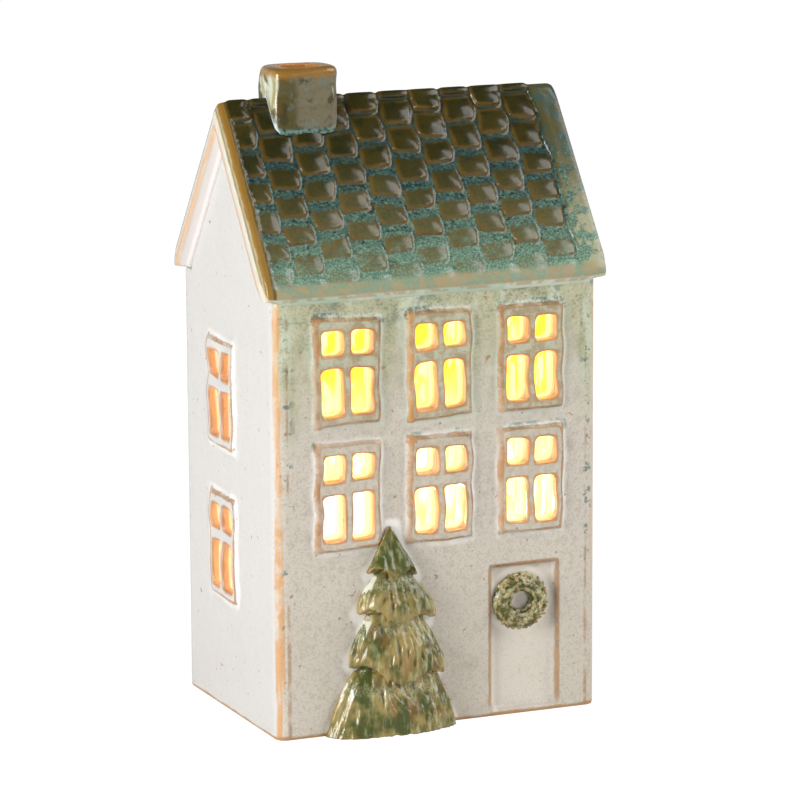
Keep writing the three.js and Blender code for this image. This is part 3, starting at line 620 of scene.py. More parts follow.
edge_spots = wall.times(edge_spots, wall.rise(inward, 0.1, 0.04))
colour = wall.laid(colour, srgb(78, 104, 98), wall.times(edge_spots, long_wall), 0.75)
drops = wall.rise(wall.noise(430, 2, 0.5, shift=(9, 2, 6)), 0.7, 0.73)
colour = wall.laid(colour, srgb(158, 104, 66), drops, 0.6)
foot_share = wall.rise(wall.jittered(wall.z, patches, -2 * MM), 1.4 * MM, 0.6 * MM)
colour = wall.laid(colour, srgb(178, 134, 84), foot_share, 0.85)

# The window reveals and the inside, with painted lamplight from the tealight: the reveals' pale
# glaze turns to a painted yellow deeper in, and the inner walls carry a painted glow, yellow above
# and nearly white below.
reveal_share = wall.rise(inward, 0.12, 0.5)
reveal_and_lamplight = wall.mixed(wall.rise(inward, 0.3, 0.95), srgb(255, 246, 230), srgb(255, 206, 110))
colour = wall.mixed(reveal_share, colour, reveal_and_lamplight)
wall.paint("Base Color", colour)
wall.paint("Roughness", wall.plus(wall.times(grain, 0.16), 0.14))
# Painted glow: the inner walls give off the tealight's warm light themselves, dimmer on the front
# wall's inner face.
glimmer = wall.noise(230, 3, 0.6, stretch=(1, 1, 0.3), shift=(1, 4, 2))
low_light = wall.mixed(wall.rise(glimmer, 0.42, 0.6), (1.0, 0.95, 0.8, 1), (1.0, 0.76, 0.24, 1))
high_light = wall.mixed(wall.rise(glimmer, 0.36, 0.48), (1.0, 0.36, 0.0, 1), (1.0, 0.54, 0.01, 1))
high_light = wall.mixed(wall.rise(glimmer, 0.5, 0.6), high_light, (1.0, 0.86, 0.5, 1))
inner_light = wall.mixed(wall.rise(wall.z, *light_change), low_light, high_light)
glow = wall.mixed(wall.rise(inward, 0.5, 0.95), (1.0, 0.8, 0.4, 1), inner_light)
wall.paint("Emission Color", glow)
glow_level = wall.plus(wall.times(wall.rise(inward, 0.28, 0.6), 0.9),
                       wall.times(wall.rise(inward, 0.95, 1.0), 0.25))
behind_front = wall.plus(wall.times(wall.rise(wall.y, -28.5 * MM, -26 * MM), 0.6), 0.4)
front_level = wall.math("MAXIMUM", behind_front, wall.rise(inward, 0.97, 0.9))
wall.paint("Emission Strength", wall.times(glow_level, front_level))
swell = wall.noise(70, 2, 0.5)
wall.bump(wall.plus(swell, wall.times(grain, 0.05)), 0.5 * MM, 0.6)
walls_mesh.materials.clear()
walls_mesh.materials.append(wall.material)
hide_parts("house_walls")
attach(walls, "house")


# Roof. Two slopes of the same clay with pressed tiles in staggered columns, dipped in an
# olive glaze that breaks amber on the tiles' edges and pools teal in the grooves.
class Growth(Nodes):
    """A Geometry Nodes tree with named inputs, run once on a mesh of places."""

    def __init__(self, name):
        super().__init__(bpy.data.node_groups.new(name, "GeometryNodeTree"))
        for way in ("OUTPUT", "INPUT"):
            self.tree.interface.new_socket("Geometry", in_out=way,
                                           socket_type="NodeSocketGeometry")
        self.start = self.tree.nodes.new("NodeGroupInput")
        self.places = self.start.outputs["Geometry"]
        self.values = {}

    def size(self, name, value, kind="NodeSocketFloat"):
        socket = self.tree.interface.new_socket(name, in_out="INPUT", socket_type=kind)
        self.values[socket.identifier] = value
        return self.start.outputs[name]

    def named(self, name, kind="FLOAT"):
        return self.node("GeometryNodeInputNamedAttribute", {"Name": name},
                         data_type=kind).outputs["Attribute"]

    def finished(self, geometry, material):
        realized = self.node("GeometryNodeRealizeInstances", {"Geometry": geometry})
        painted = self.node("GeometryNodeSetMaterial", {
            "Geometry": realized.outputs["Geometry"], "Material": material})
        self.node("NodeGroupOutput", {"Geometry": painted.outputs["Geometry"]})

    def grown(self, name, places):
        """The mesh that the tree makes on the places."""
        piece = new_object(name, places)
        modifier = piece.modifiers.new("growth", "NODES")
        modifier.node_group = self.tree
        for identifier, value in self.values.items():
            modifier[identifier] = value
        mesh = plain(piece)
        bpy.data.objects.remove(piece)
        return mesh


def places_mesh(name, points, vectors):
    """Loose points with named vector attributes."""
    mesh = bpy.data.meshes.new(name)
    mesh.from_pydata(points, [], [])
    for key, values in vectors.items():
        layer = mesh.attributes.new(key, "FLOAT_VECTOR", "POINT")
        layer.data.foreach_set("vector", np.array(values, np.float32).ravel())
    return mesh


roof_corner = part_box("roof")[1]
roof_half, eave_half = roof_corner.x, roof_corner.y
eave_tip = 131.5 * MM
roof_pitch = math.radians(53.1)
slope_sin, slope_cos = math.sin(roof_pitch), math.cos(roof_pitch)
ridge_height = eave_tip + eave_half * math.tan(roof_pitch)
slope_length = eave_half / slope_cos
tile_relief = 1.2 * MM
tile_gap = 0.9 * MM
column_pitch = 9.93 * MM
row_pitch = 9.2 * MM
first_tile = 7.5 * MM
left_band = 3.9 * MM
right_band = 8.4 * MM
eave_band = 2.6 * MM
tile_dome = 0.42 * MM
tile_slant = 0.45 * MM
tile_edge_lift = -0.8 * MM
tile_tilt = math.radians(2.5)
ridge_roll = 0.8 * MM
first_row_lift = 0.55 * MM
roof_spacing = 0.42 * MM
roof_rounding = 0.42 * MM
roof_crest_reach = 0.7 * MM
roof_blur_reach = 1.2 * MM
edge_rounding = 0.8 * MM
lip_rounding = 1.5 * MM
left_chamfer = 1.5 * MM
right_chamfer = 0.8 * MM
verge_steepness = 1.6
verge_ease = 0.4 * MM
end_radius = 3.0 * MM
tile_waver = 0.6 * MM
shortest_tile = 1.5 * MM
pad_thickness = 1.6 * MM
roof_triangles = 197000
roof_flat = 0.02
tone_count = 32
field_left = -roof_half + left_band
field_right = roof_half - right_band
field_end = slope_length - eave_band
columns = math.ceil((field_right - field_left) / column_pitch)
roof_glaze = Finish("roof_glaze")

pad_tree = Growth("tile_pads")
pad_dome = pad_tree.size("Dome", tile_dome)
pad_slant = pad_tree.size("Slant", tile_slant)
pad_depth = pad_tree.size("Depth", pad_thickness)
pad_tilt = pad_tree.size("Tilt", tile_tilt)
pad_corner = pad_tree.size("Corner", 0.1)
pad_seed = pad_tree.size("Seed", 4, "NodeSocketInt")
pad_size = pad_tree.node("ShaderNodeCombineXYZ", {"X": 1.0, "Y": 1.0, "Z": pad_depth})
pad_cube = pad_tree.node("GeometryNodeMeshCube", {
    "Size": pad_size.outputs[0], "Vertices X": 11, "Vertices Y": 11, "Vertices Z": 2})
pad_across, pad_along, pad_up = pad_tree.node("ShaderNodeSeparateXYZ", {
    0: pad_tree.node("GeometryNodeInputPosition").outputs[0]}).outputs
pad_top = pad_tree.math("GREATER_THAN", pad_up, 0.0)


def pad_bow(place):
    """1 along a pad's middle and 0 at its edges."""
    beside = pad_tree.unsigned(pad_tree.times(place, 2.0))
    return pad_tree.minus(1.0, pad_tree.math("POWER", beside, 2.0))


def pad_narrowing(place):
    """1 along a pad's middle and a little less towards its corners."""
    fourth_power = pad_tree.math("POWER", pad_tree.times(place, 2.0), 4.0)
    return pad_tree.minus(1.0, pad_tree.times(fourth_power, pad_corner))


pad_rise = pad_tree.plus(
    pad_tree.times(pad_tree.times(pad_bow(pad_across), pad_bow(pad_along)), pad_dome),
    pad_tree.times(pad_tree.plus(pad_along, 0.5), pad_slant))
pad_inset = pad_tree.minus(1.0, pad_tree.times(pad_top, 0.08))
pad_point = pad_tree.node("ShaderNodeCombineXYZ", {
    "X": pad_tree.times(pad_across, pad_tree.times(pad_inset, pad_narrowing(pad_along))),
    "Y": pad_tree.times(pad_along, pad_tree.times(pad_inset, pad_narrowing(pad_across))),
    "Z": pad_tree.plus(pad_up, pad_tree.times(pad_top, pad_rise))})
pad_shape = pad_tree.node("GeometryNodeSetPosition", {
    "Geometry": pad_cube.outputs["Mesh"], "Position": pad_point.outputs[0]})
pad_turn = pad_tree.node("FunctionNodeRandomValue", {
    "Min": (-1, -1, -0.5), "Max": (1, 1, 0.5), "Seed": pad_seed}, data_type="FLOAT_VECTOR")
pad_angle = pad_tree.node("ShaderNodeVectorMath", {
    0: pad_turn.outputs["Value"], "Scale": pad_tilt}, operation="SCALE")
pad_rotation = pad_tree.node("FunctionNodeEulerToRotation", {0: pad_angle.outputs[0]})
pads = pad_tree.node("GeometryNodeInstanceOnPoints", {
    "Points": pad_tree.places, "Instance": pad_shape.outputs["Geometry"],
    "Rotation": pad_rotation.outputs[0], "Scale": pad_tree.named("tile_size", "FLOAT_VECTOR")})
pad_tree.finished(pads.outputs["Instances"], roof_glaze.material)

pad_middle = tile_edge_lift - pad_thickness / 2
pad_points, pad_sizes, roll_points, roll_sizes = [], [], [], []
for column in range(columns):
    right = field_right - (columns - 1 - column) * column_pitch - tile_gap / 2
    left = max(right - column_pitch + tile_gap, field_left)
    roll_points.append(((left + right) / 2, 0, ridge_height - ridge_roll))
    roll_sizes.append((ridge_roll, ridge_roll, right - left))
    upper = 0
    lower = first_tile - (column % 2) * row_pitch / 2 - tile_gap / 2
    while upper < field_end:
        length = min(lower, field_end) - upper
        if length > shortest_tile:
            raised = first_row_lift if upper == 0 else 0
            pad_points.append(((left + right) / 2, upper + length / 2, pad_middle + raised))
            pad_sizes.append((right - left, length, 1))
        upper = lower + tile_gap
        lower += row_pitch
roll_points.append(((field_left + field_right) / 2, 0, ridge_height - 2.1 * ridge_roll))
roll_sizes.append((ridge_roll, ridge_roll, field_right - field_left))
pad_mesh = pad_tree.grown("tile_pads", places_mesh("tile_places", pad_points,
                                                    {"tile_size": pad_sizes}))
slopes = []
for side in (-1, 1):
    slope = pad_mesh.copy()
    slope.transform(Matrix(((1, 0, 0, 0), (0, side * slope_cos, side * slope_sin, 0),
                            (0, -slope_sin, slope_cos, ridge_height), (0, 0, 0, 1))))
    if side < 0:
        slope.flip_normals()
    slopes.append(slope)

roll_tree = Growth("ridge_rolls")
roll_sides = roll_tree.size("Sides", 20, "NodeSocketInt")
roll_bar = roll_tree.node("GeometryNodeMeshCylinder", {
    "Vertices": roll_sides, "Radius": 1.0, "Depth": 1.0})
rolls = roll_tree.node("GeometryNodeInstanceOnPoints", {
    "Points": roll_tree.places, "Instance": roll_bar.outputs["Mesh"],
    "Rotation": (0, math.pi / 2, 0), "Scale": roll_tree.named("roll_size", "FLOAT_VECTOR")})
roll_tree.finished(rolls.outputs["Instances"], roof_glaze.material)
roll_mesh = roll_tree.grown("ridge_rolls", places_mesh("roll_places", roll_points,
                                                        {"roll_size": roll_sizes}))


def slope_places(points):
    """Distance down the slope and height above the plane of the tile tops."""
    drop = ridge_height - points[:, 2]
    beside = np.abs(points[:, 1])
    return beside * slope_cos + drop * slope_sin, beside * slope_sin - drop * slope_cos


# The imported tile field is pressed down, so that only the pads above make the tiles.
roof_clay = welded_copy("roof")
clay_points = points_of(roof_clay)
down, lift = slope_places(clay_points)
margin = 0.15 * MM
pressed = (clay_points[:, 0] > field_left + margin) & (
    clay_points[:, 0] < field_right - margin) & (down < field_end - margin) & (
    lift > -tile_relief - margin)
clay_points[:, 2] -= np.where(pressed, np.maximum(lift + tile_relief, 0) / slope_cos, 0)
move_points(roof_clay, clay_points)

# Soft coves of clay close the corner between the roof and the walls.
cove_drop = 2.2 * MM
cove_out = 1.1 * MM
seat_height = 128.5 * MM
cove_bite = 0.4 * MM
cove_overlap = 1.0 * MM
cove_inset = 1.5 * MM
gable_cove = ((0.35 * MM, 3.4 * MM), (0.8 * MM, 2.0 * MM), (1.5 * MM, 1.1 * MM),
              (2.6 * MM, 0.4 * MM))  # each out from the gable wall, and down it
roof_thickness = 6.5 * MM
cove_points, cove_faces = [], []


def add_prism(sections):
    """A closed bar between two triangles."""
    first = len(cove_points)
    cove_points.extend(point for section in sections for point in section)
    for face in ((0, 1, 2), (5, 4, 3), (0, 3, 4, 1), (1, 4, 5, 2), (2, 5, 3, 0)):
        cove_faces.append([first + corner for corner in face])


for side in (-1, 1):
    add_prism([[(end, side * (depth_half - cove_bite), seat_height - cove_drop),
                (end, side * (depth_half + cove_out), seat_height + cove_overlap),
                (end, side * (depth_half - cove_bite), seat_height + cove_overlap)]
               for end in (-wall_half + cove_inset, wall_half - cove_inset)])
    for end in (-1, 1):
        for out, deep in gable_cove:
            corners = []
            for down_slope in (0, slope_length - cove_inset):
                for beyond, below_roof in ((-cove_bite, deep), (-cove_bite, -cove_overlap),
                                           (out, -cove_overlap)):
                    rise = -roof_thickness - below_roof
                    beside = down_slope * slope_cos + rise * slope_sin
                    corners.append((
                        end * (wall_half + beyond), side * max(0, beside),
                        ridge_height - down_slope * slope_sin + rise * slope_cos
                        + min(0, beside) / slope_cos * slope_sin))
            add_prism([corners[:3], corners[3:]])
coves = bpy.data.meshes.new("coves")
coves.from_pydata(cove_points, [], cove_faces)

# The tiles stay crisp, while the edges, the eave's lip and the verges are rounded off.
roof = cast_clay("roof_shell", [roof_clay, *slopes, roll_mesh, coves], roof_spacing)
roof_links = links_of(roof.data)
roof_points = points_of(roof.data)
down, lift = slope_places(roof_points)
top_side = smooth_step(lift, -2.6 * MM, -1.9 * MM)
soft_edge = 1.0 * MM
in_field = smooth_step(roof_points[:, 0] - field_left, -soft_edge, 0) * smooth_step(
    field_right - roof_points[:, 0], -soft_edge, 0) * smooth_step(
    field_end - down, -soft_edge, 0) * top_side
fine_points = softened(roof_points, roof_links, roof_rounding, roof_spacing)
soft_points = softened(fine_points, roof_links, edge_rounding, roof_spacing)
crisp = in_field * smooth_step(down, 1.2 * MM, 4 * MM)
roof_points = soft_points + (fine_points - soft_points) * crisp[:, None]
lip_points = softened(soft_points, roof_links, lip_rounding, roof_spacing)
lip = smooth_step(down, slope_length - 5 * MM, slope_length - 2.5 * MM)
roof_points += (lip_points - roof_points) * lip[:, None]
chamfer = np.where(roof_points[:, 0] < 0, left_chamfer, right_chamfer)
past_verge = np.maximum(np.abs(roof_points[:, 0]) - roof_half + chamfer, 0)
verge_drop = verge_steepness * (np.sqrt(past_verge ** 2 + verge_ease ** 2) - verge_ease)
verge_drop *= smooth_step(lift, -7 * MM, -1.5 * MM)
inward_share = smooth_step(np.abs(roof_points[:, 1]), 0.5 * MM, 4 * MM)
roof_points[:, 1] -= np.sign(roof_points[:, 1]) * verge_drop * slope_sin * inward_share
roof_points[:, 2] -= verge_drop * slope_cos
past_end = np.clip(np.abs(roof_points[:, 0]) - roof_half + end_radius, 0, end_radius)
end_drop = end_radius - np.sqrt(end_radius ** 2 - past_end ** 2)
near_ridge = 1 - smooth_step(down, 0, 7 * MM)
roof_points[:, 2] -= 0.8 * end_drop * near_ridge * smooth_step(lift, -6 * MM, -1 * MM)
move_points(roof.data, roof_points)
x, y, _ = roof_points.T
down, lift = slope_places(roof_points)

# What the glaze follows: each point's tile, its place in the tile, and the slope's bands.
column_share = (x - (field_right - columns * column_pitch)) / column_pitch
column = np.floor(column_share)
stagger = np.mod(column, 2) * row_pitch / 2
row_share = (down - first_tile + stagger) / row_pitch
row = np.floor(row_share)
across_gap = np.abs(column_share - column - 0.5) * column_pitch
along_gap = np.abs(row_share - row - 0.5) * row_pitch
tile_edge = np.minimum(column_pitch / 2 - across_gap, row_pitch / 2 - along_gap) - tile_gap / 2
tile_edge = np.where(down < 2.5 * MM, column_pitch / 2 - across_gap - tile_gap / 2, tile_edge)
write_attribute(roof.data, "tile_edge", tile_edge / MM)
write_attribute(roof.data, "tile_down", row_share - row)
tone_draw = np.random.default_rng(8).uniform(size=(2, tone_count, tone_count))
write_attribute(roof.data, "tile_tone", tone_draw[
    (y > 0).astype(int), np.clip(column, 0, tone_count - 1).astype(int),
    np.clip(row + 1, 0, tone_count - 1).astype(int)])
write_attribute(roof.data, "field", in_field)
write_attribute(roof.data, "below", -lift / MM)
write_attribute(roof.data, "rim", (roof_half - np.abs(x)) / MM)
write_attribute(roof.data, "verge_face", smooth_step(np.abs(x), wall_half - 2.5 * MM,
                                                     wall_half - 1 * MM))
write_attribute(roof.data, "down_slope", down / slope_length)

# The tiles are pressed by hand, so their lines waver.
tile_wander = 0.5 * wander(roof_points, 22 * MM, 3) + 0.5 * wander(roof_points, 9 * MM, 9)
slope_way = np.stack([np.zeros_like(x), np.sign(y) * slope_cos, np.full_like(x, -slope_sin)], 1)
slope_way *= smooth_step(np.abs(y), 2 * MM, 6 * MM)[:, None]
within = smooth_step(roof_half - np.abs(x), 2 * MM, 6 * MM) * smooth_step(
    field_end - down, -2 * MM, 4 * MM) * top_side
tile_shift = tile_waver * within[:, None]
roof_points = roof_points + tile_shift * (
    tile_wander[:, :1] * np.array([[1.0, 0, 0]]) + tile_wander[:, 1:2] * slope_way)
move_points(roof.data, roof_points)
roof_relief = relief_of(roof.data, roof_crest_reach, roof_spacing)
roof_blur = softened(np.abs(roof_relief)[:, None], roof_links, roof_blur_reach,
                     roof_spacing)[:, 0]
write_attribute(roof.data, "crest", np.clip(roof_relief, 0, 1))
roof_mesh = thinned(roof, np.maximum(roof_blur / roof_flat, top_side), roof_triangles)
shade_smooth(roof_mesh)

# Olive faces, browner down the slope, that break amber on the tiles' edges.
glaze = roof_glaze
crest = glaze.attribute("crest")
tone, edge = glaze.attribute("tile_tone"), glaze.attribute("tile_edge")
tile_down, slope_share = glaze.attribute("tile_down"), glaze.attribute("down_slope")
field, below = glaze.attribute("field"), glaze.attribute("below")
cloud = glaze.noise(60, 3, 0.55)
fleck = glaze.noise(900, 3, 0.7)
speck = glaze.noise(1700, 2, 0.6)
blot = glaze.noise(260, 3, 0.6, shift=(2, 6, 1))
low_share = glaze.rise(glaze.jittered(slope_share, cloud, 0.35), 0.26, 0.92)
olive = glaze.mixed(tone, srgb(46, 43, 14), srgb(62, 55, 20))
olive = glaze.laid(olive, srgb(32, 40, 20), glaze.rise(blot, 0.45, 0.68), 0.8)
low_tone = glaze.mixed(glaze.rise(fleck, 0.4, 0.62), srgb(122, 104, 64), srgb(88, 98, 70))
olive = glaze.laid(olive, low_tone, low_share, 0.8)
edge_share = glaze.rise(glaze.jittered(edge, blot, 1.6), 1.5, 0.1)
amber_share = glaze.math("MAXIMUM", glaze.times(edge_share, 0.45), glaze.times(
    glaze.rise(glaze.jittered(crest, blot, 0.2), 0.08, 0.26), 0.6))
amber_share = glaze.times(amber_share, glaze.plus(field, 0.25))
colour = glaze.mixed(amber_share, olive, srgb(112, 84, 34))

# Teal and mint in the grooves, spilling over the head of the next tile down.
teal = glaze.mixed(glaze.rise(fleck, 0.36, 0.64), srgb(26, 50, 56), srgb(62, 98, 90))
mint = glaze.mixed(glaze.rise(speck, 0.42, 0.62), srgb(98, 136, 118), srgb(150, 178, 150))
mint_down = glaze.jittered(glaze.jittered(slope_share, fleck, 1.5), blot, 0.7)
mint_share = glaze.rise(mint_down, 0.35, 1.0)
teal = glaze.laid(teal, mint, mint_share, 0.85)
deep_share = glaze.rise(glaze.jittered(blot, fleck, 0.8), 0.54, 0.64)
teal = glaze.laid(teal, srgb(34, 60, 66), deep_share, 0.6)
top_dim = glaze.rise(slope_share, 0.05, 0.36)
teal = glaze.mixed(top_dim, srgb(40, 54, 40), teal)
spill = glaze.minus(glaze.plus(0.11, glaze.times(slope_share, 0.42)), tile_down)
spill = glaze.jittered(glaze.jittered(spill, fleck, 0.3), blot, 0.3)
spill_share = glaze.times(glaze.rise(spill, -0.03, 0.16), top_dim)
groove = glaze.jittered(glaze.times(edge, -1.0), blot, 0.9)
groove_share = glaze.rise(groove, -0.35, 0.3)
teal_share = glaze.times(glaze.math("MAXIMUM", groove_share, spill_share), field)
colour = glaze.laid(colour, teal, teal_share, 0.94)
wash_share = glaze.rise(glaze.jittered(glaze.jittered(slope_share, blot, 0.4), fleck, 0.25),
                        0.74, 0.98)
colour = glaze.laid(colour, mint, wash_share, 0.55)

# The plain bands: olive and teal at the sides, mint and clay at the eave, amber verges.
band = glaze.mixed(glaze.rise(glaze.jittered(blot, fleck, 0.5), 0.42, 0.6), srgb(86, 80, 44),
                   srgb(62, 84, 76))
band = glaze.laid(band, mint, mint_share, 0.8)
band = glaze.mixed(glaze.times(glaze.rise(glaze.jittered(blot, fleck, 0.4), 0.54, 0.44),
                               glaze.times(low_share, 0.75)), band, srgb(184, 178, 144))
colour = glaze.mixed(glaze.minus(1.0, field), colour, band)
eave_share = glaze.rise(glaze.jittered(slope_share, fleck, 0.03), 0.94, 0.98)
eave_tone = glaze.mixed(glaze.rise(glaze.jittered(fleck, blot, 0.9), 0.36, 0.6),
                        srgb(172, 150, 112), srgb(142, 160, 134))
colour = glaze.laid(colour, eave_tone, eave_share, 0.85)
rim = glaze.attribute("rim")
on_left = glaze.math("LESS_THAN", glaze.x, 0.0)
verge_tone = glaze.mixed(glaze.rise(glaze.jittered(rim, blot, 0.8), 2.5, 3.2),
                         srgb(150, 112, 46), srgb(92, 76, 28))
verge_tone = glaze.mixed(glaze.rise(glaze.jittered(rim, blot, 0.9), 1.0, 0.5), verge_tone,
                         srgb(206, 200, 172))
verge_share = glaze.times(glaze.rise(glaze.jittered(rim, blot, 0.8), 4.1, 3.4), on_left)
colour = glaze.laid(colour, verge_tone, verge_share, 0.92)
right_line = glaze.rise(glaze.jittered(rim, blot, 0.5), 0.9, 0.4)
colour = glaze.laid(colour, srgb(112, 84, 42), right_line, 0.7)

# Under the tiles: a pale fascia, and the gable side with an amber stripe and a painted highlight
# along its seam with the wall.
patch = glaze.noise(90, 3, 0.6)
verge_face = glaze.attribute("verge_face")
fascia = glaze.mixed(glaze.rise(patch, 0.4, 0.6), srgb(206, 212, 194), srgb(182, 200, 178))
gable = glaze.mixed(patch, srgb(210, 203, 199), srgb(198, 191, 188))
stripe = glaze.rise(glaze.unsigned(glaze.plus(glaze.jittered(below, patch, 1.2), -4.6)),
                    1.3, 0.3)
gable = glaze.laid(gable, srgb(206, 166, 118), stripe, 0.8)
edge_tone = glaze.mixed(glaze.rise(blot, 0.42, 0.58), srgb(206, 210, 186), srgb(204, 194, 160))
gable = glaze.mixed(glaze.rise(glaze.jittered(below, blot, 0.8), 3.0, 2.2), gable, edge_tone)
# Painted highlight: a pale line where the verge's underside meets the gable wall.
seam_highlight = glaze.rise(glaze.unsigned(glaze.plus(below, -7.3)), 0.6, 0.2)
gable = glaze.laid(gable, srgb(238, 236, 234), seam_highlight, 0.3)
fascia = glaze.mixed(verge_face, fascia, gable)
fascia_share = glaze.rise(glaze.jittered(below, blot, 0.9), 1.5, 2.1)
colour = glaze.mixed(fascia_share, colour, fascia)
dash_share = glaze.times(glaze.rise(glaze.unsigned(glaze.plus(below, -2.2)), 0.9, 0.3),
                         glaze.rise(blot, 0.42, 0.54))
dash_share = glaze.times(dash_share, glaze.minus(1.0, verge_face))
colour = glaze.laid(colour, srgb(168, 128, 84), dash_share, 0.55)
glaze.paint("Base Color", colour)
glaze.paint("Roughness", glaze.plus(glaze.times(fleck, 0.12), 0.1))
glaze.paint("Specular IOR Level", 0.36)
glaze.bump(glaze.plus(glaze.noise(160, 2, 0.5), glaze.times(fleck, 0.05)), 0.3 * MM, 0.5)
roof_mesh.materials.clear()
roof_mesh.materials.append(glaze.material)
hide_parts("roof")
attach(roof, "house")


# Chimney. A square stack luted over the ridge with an open flue, in the roof's glaze run
# thin to amber on its rim and pooled celadon on its left face.
chimney_spacing = 0.34 * MM
chimney_middle = -28.1 * MM
flue_half = (5.2 * MM, 4.2 * MM)
flue_margin = 0.8 * MM
stack_crest_reach = 0.9 * MM
stack_rounding = 0.4 * MM
stack_edge_rounding = 1.0 * MM
stack_waver = 0.3 * MM
stack_clear = 4.0 * MM
amber_rim = (187.2 * MM, 189.6 * MM)
chimney = cast_clay("chimney_stack", [welded_copy("chimney")], chimney_spacing)
chimney_links = links_of(chimney.data)
chimney_points = softened(points_of(chimney.data), chimney_links, stack_rounding,
                          chimney_spacing)
off_middle = np.abs(chimney_points[:, :2] - np.array([[chimney_middle, 0]]))
in_flue = np.all(off_middle < np.array([flue_half]) + flue_margin, 1)
round_points = softened(chimney_points, chimney_links, stack_edge_rounding, chimney_spacing)
chimney_points = np.where(in_flue[:, None], chimney_points, round_points)
chimney_points += stack_waver * wander(chimney_points, 14 * MM, 21) * smooth_step(
    chimney_points[:, 2:], ridge_height - stack_clear, ridge_height + stack_clear)
move_points(chimney.data, chimney_points)
chimney_relief = relief_of(chimney.data, stack_crest_reach, chimney_spacing)
write_attribute(chimney.data, "crest", np.clip(chimney_relief, 0, 1))
chimney_normals = normals_of(chimney.data)
write_attribute(chimney.data, "flue", in_flue.astype(float))
write_attribute(chimney.data, "above_tiles", slope_places(chimney_points)[1] / MM)
write_attribute(chimney.data, "left_face", np.clip(-chimney_normals[:, 0], 0, 1) * ~in_flue)
shade_smooth(chimney.data)

# Olive front with a painted reflection in grey right of its left third, a celadon left face, amber
# on the rim, teal where it meets the tiles, and a faint painted glow in the flue.
stack = Finish("chimney_glaze")
crest = stack.attribute("crest")
cloud = stack.noise(110, 3, 0.6)
fleck = stack.noise(800, 3, 0.65)
# Painted reflection: the stack right of about x = -31 mm is painted grey, as its glaze mirrors the
# right soft box.
reflection_share = stack.rise(stack.jittered(stack.x, cloud, 4 * MM), -33 * MM, -30.5 * MM)
front_tone_and_reflection = stack.mixed(reflection_share, srgb(82, 72, 30), srgb(116, 108, 84))
colour = stack.mixed(stack.times(stack.rise(fleck, 0.5, 0.64), 0.5), front_tone_and_reflection,
                     srgb(84, 84, 58))
left_tone = stack.mixed(stack.rise(stack.noise(300, 3, 0.6, stretch=(1, 1, 0.3)), 0.42, 0.6),
                        srgb(206, 212, 190), srgb(164, 156, 112))
left_share = stack.rise(stack.attribute("left_face"), 0.5, 0.85)
colour = stack.laid(colour, left_tone, left_share, 0.9)
spots = stack.noise(150, 2, 0.5, shift=(4, 2, 7))
spots = stack.rise(stack.jittered(spots, fleck, 0.2), 0.54, 0.62)
colour = stack.laid(colour, srgb(58, 54, 24), spots, 0.85)
amber_share = stack.math("MAXIMUM", stack.rise(stack.jittered(crest, cloud, 0.25), 0.06, 0.26),
                         stack.rise(stack.jittered(stack.z, cloud, 4 * MM), *amber_rim))
colour = stack.laid(colour, srgb(150, 108, 42), amber_share, 0.9)
tint_share = stack.rise(stack.jittered(stack.noise(260, 3, 0.6, shift=(8, 1, 3)), fleck, 0.3),
                        0.56, 0.64)
colour = stack.laid(colour, srgb(110, 132, 128), tint_share, 0.3)
ring_share = stack.rise(stack.jittered(stack.attribute("above_tiles"), fleck, 1.6), 1.0, 0.3)
ring_tone = stack.mixed(stack.rise(fleck, 0.4, 0.62), srgb(34, 62, 62), srgb(112, 150, 136))
ring_tone = stack.mixed(left_share, ring_tone, srgb(206, 220, 224))
colour = stack.laid(colour, ring_tone, ring_share, 0.9)
colour = stack.mixed(stack.attribute("flue"), colour, srgb(184, 128, 66))
stack.paint("Base Color", colour)
stack.paint("Roughness", stack.plus(stack.times(fleck, 0.1), 0.06))
# Painted glow: the flue gives off a faint warm light of its own, as if lit by the tealight below.
stack.paint("Emission Color", (1.0, 0.45, 0.12, 1))
stack.paint("Emission Strength", stack.times(stack.attribute("flue"), 0.06))
stack.bump(cloud, 0.3 * MM, 0.5)
chimney.data.materials.append(stack.material)
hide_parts("chimney")
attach(chimney, "house")


# Fir tree. A pressed relief of four drooping tiers, each a fan of long tufts that were
# drawn down with a brush, luted to the front wall under a moss-green and amber glaze.
tree_middle = -15.0 * MM
tree_tip_shift = -1.1 * MM
tree_spacing = 0.3 * MM
tree_rounding = 0.3 * MM
comb_depth = 0.16 * MM
tree_crest_reach = 0.7 * MM
tree_edge = 1.1 * MM
tier_keys = ("neck_height", "neck_left", "neck_right", "neck_out", "left_reach", "left_height",
             "right_reach", "right_height", "hem_height", "hem_out", "notch")
tier_sizes = [dict(zip(tier_keys, sizes)) for sizes in (  # in mm, from the foot up
    (20.5, 10.0, 9.2, 4.4, 21.4, 0.0, 19.6, 0.0, 0.0, 8.8, 0.0),
    (36.5, 7.0, 7.2, 3.4, 13.8, 19.8, 15.5, 16.0, 14.8, 8.2, 3.4),
    (48.5, 3.6, 3.8, 2.4, 11.2, 35.4, 13.0, 32.4, 32.6, 6.9, 3.4),
    (60.6, 0.5, 0.5, 0.9, 8.4, 47.2, 7.7, 45.3, 45.6, 5.0, 3.0))]
top_flare, foot_flare = 1.25, 0.9
tier_tufts = (34, 28, 22, 14)
top_narrowing = 0.5
fan_start, fan_width = -48, 128  # degrees, from the front's left to its right
lobe_turns = (-80, -58, 80)  # degrees, the broad tufts at a tier's sides
lobe_width = 1.1
tree_glaze = Finish("tree_glaze")


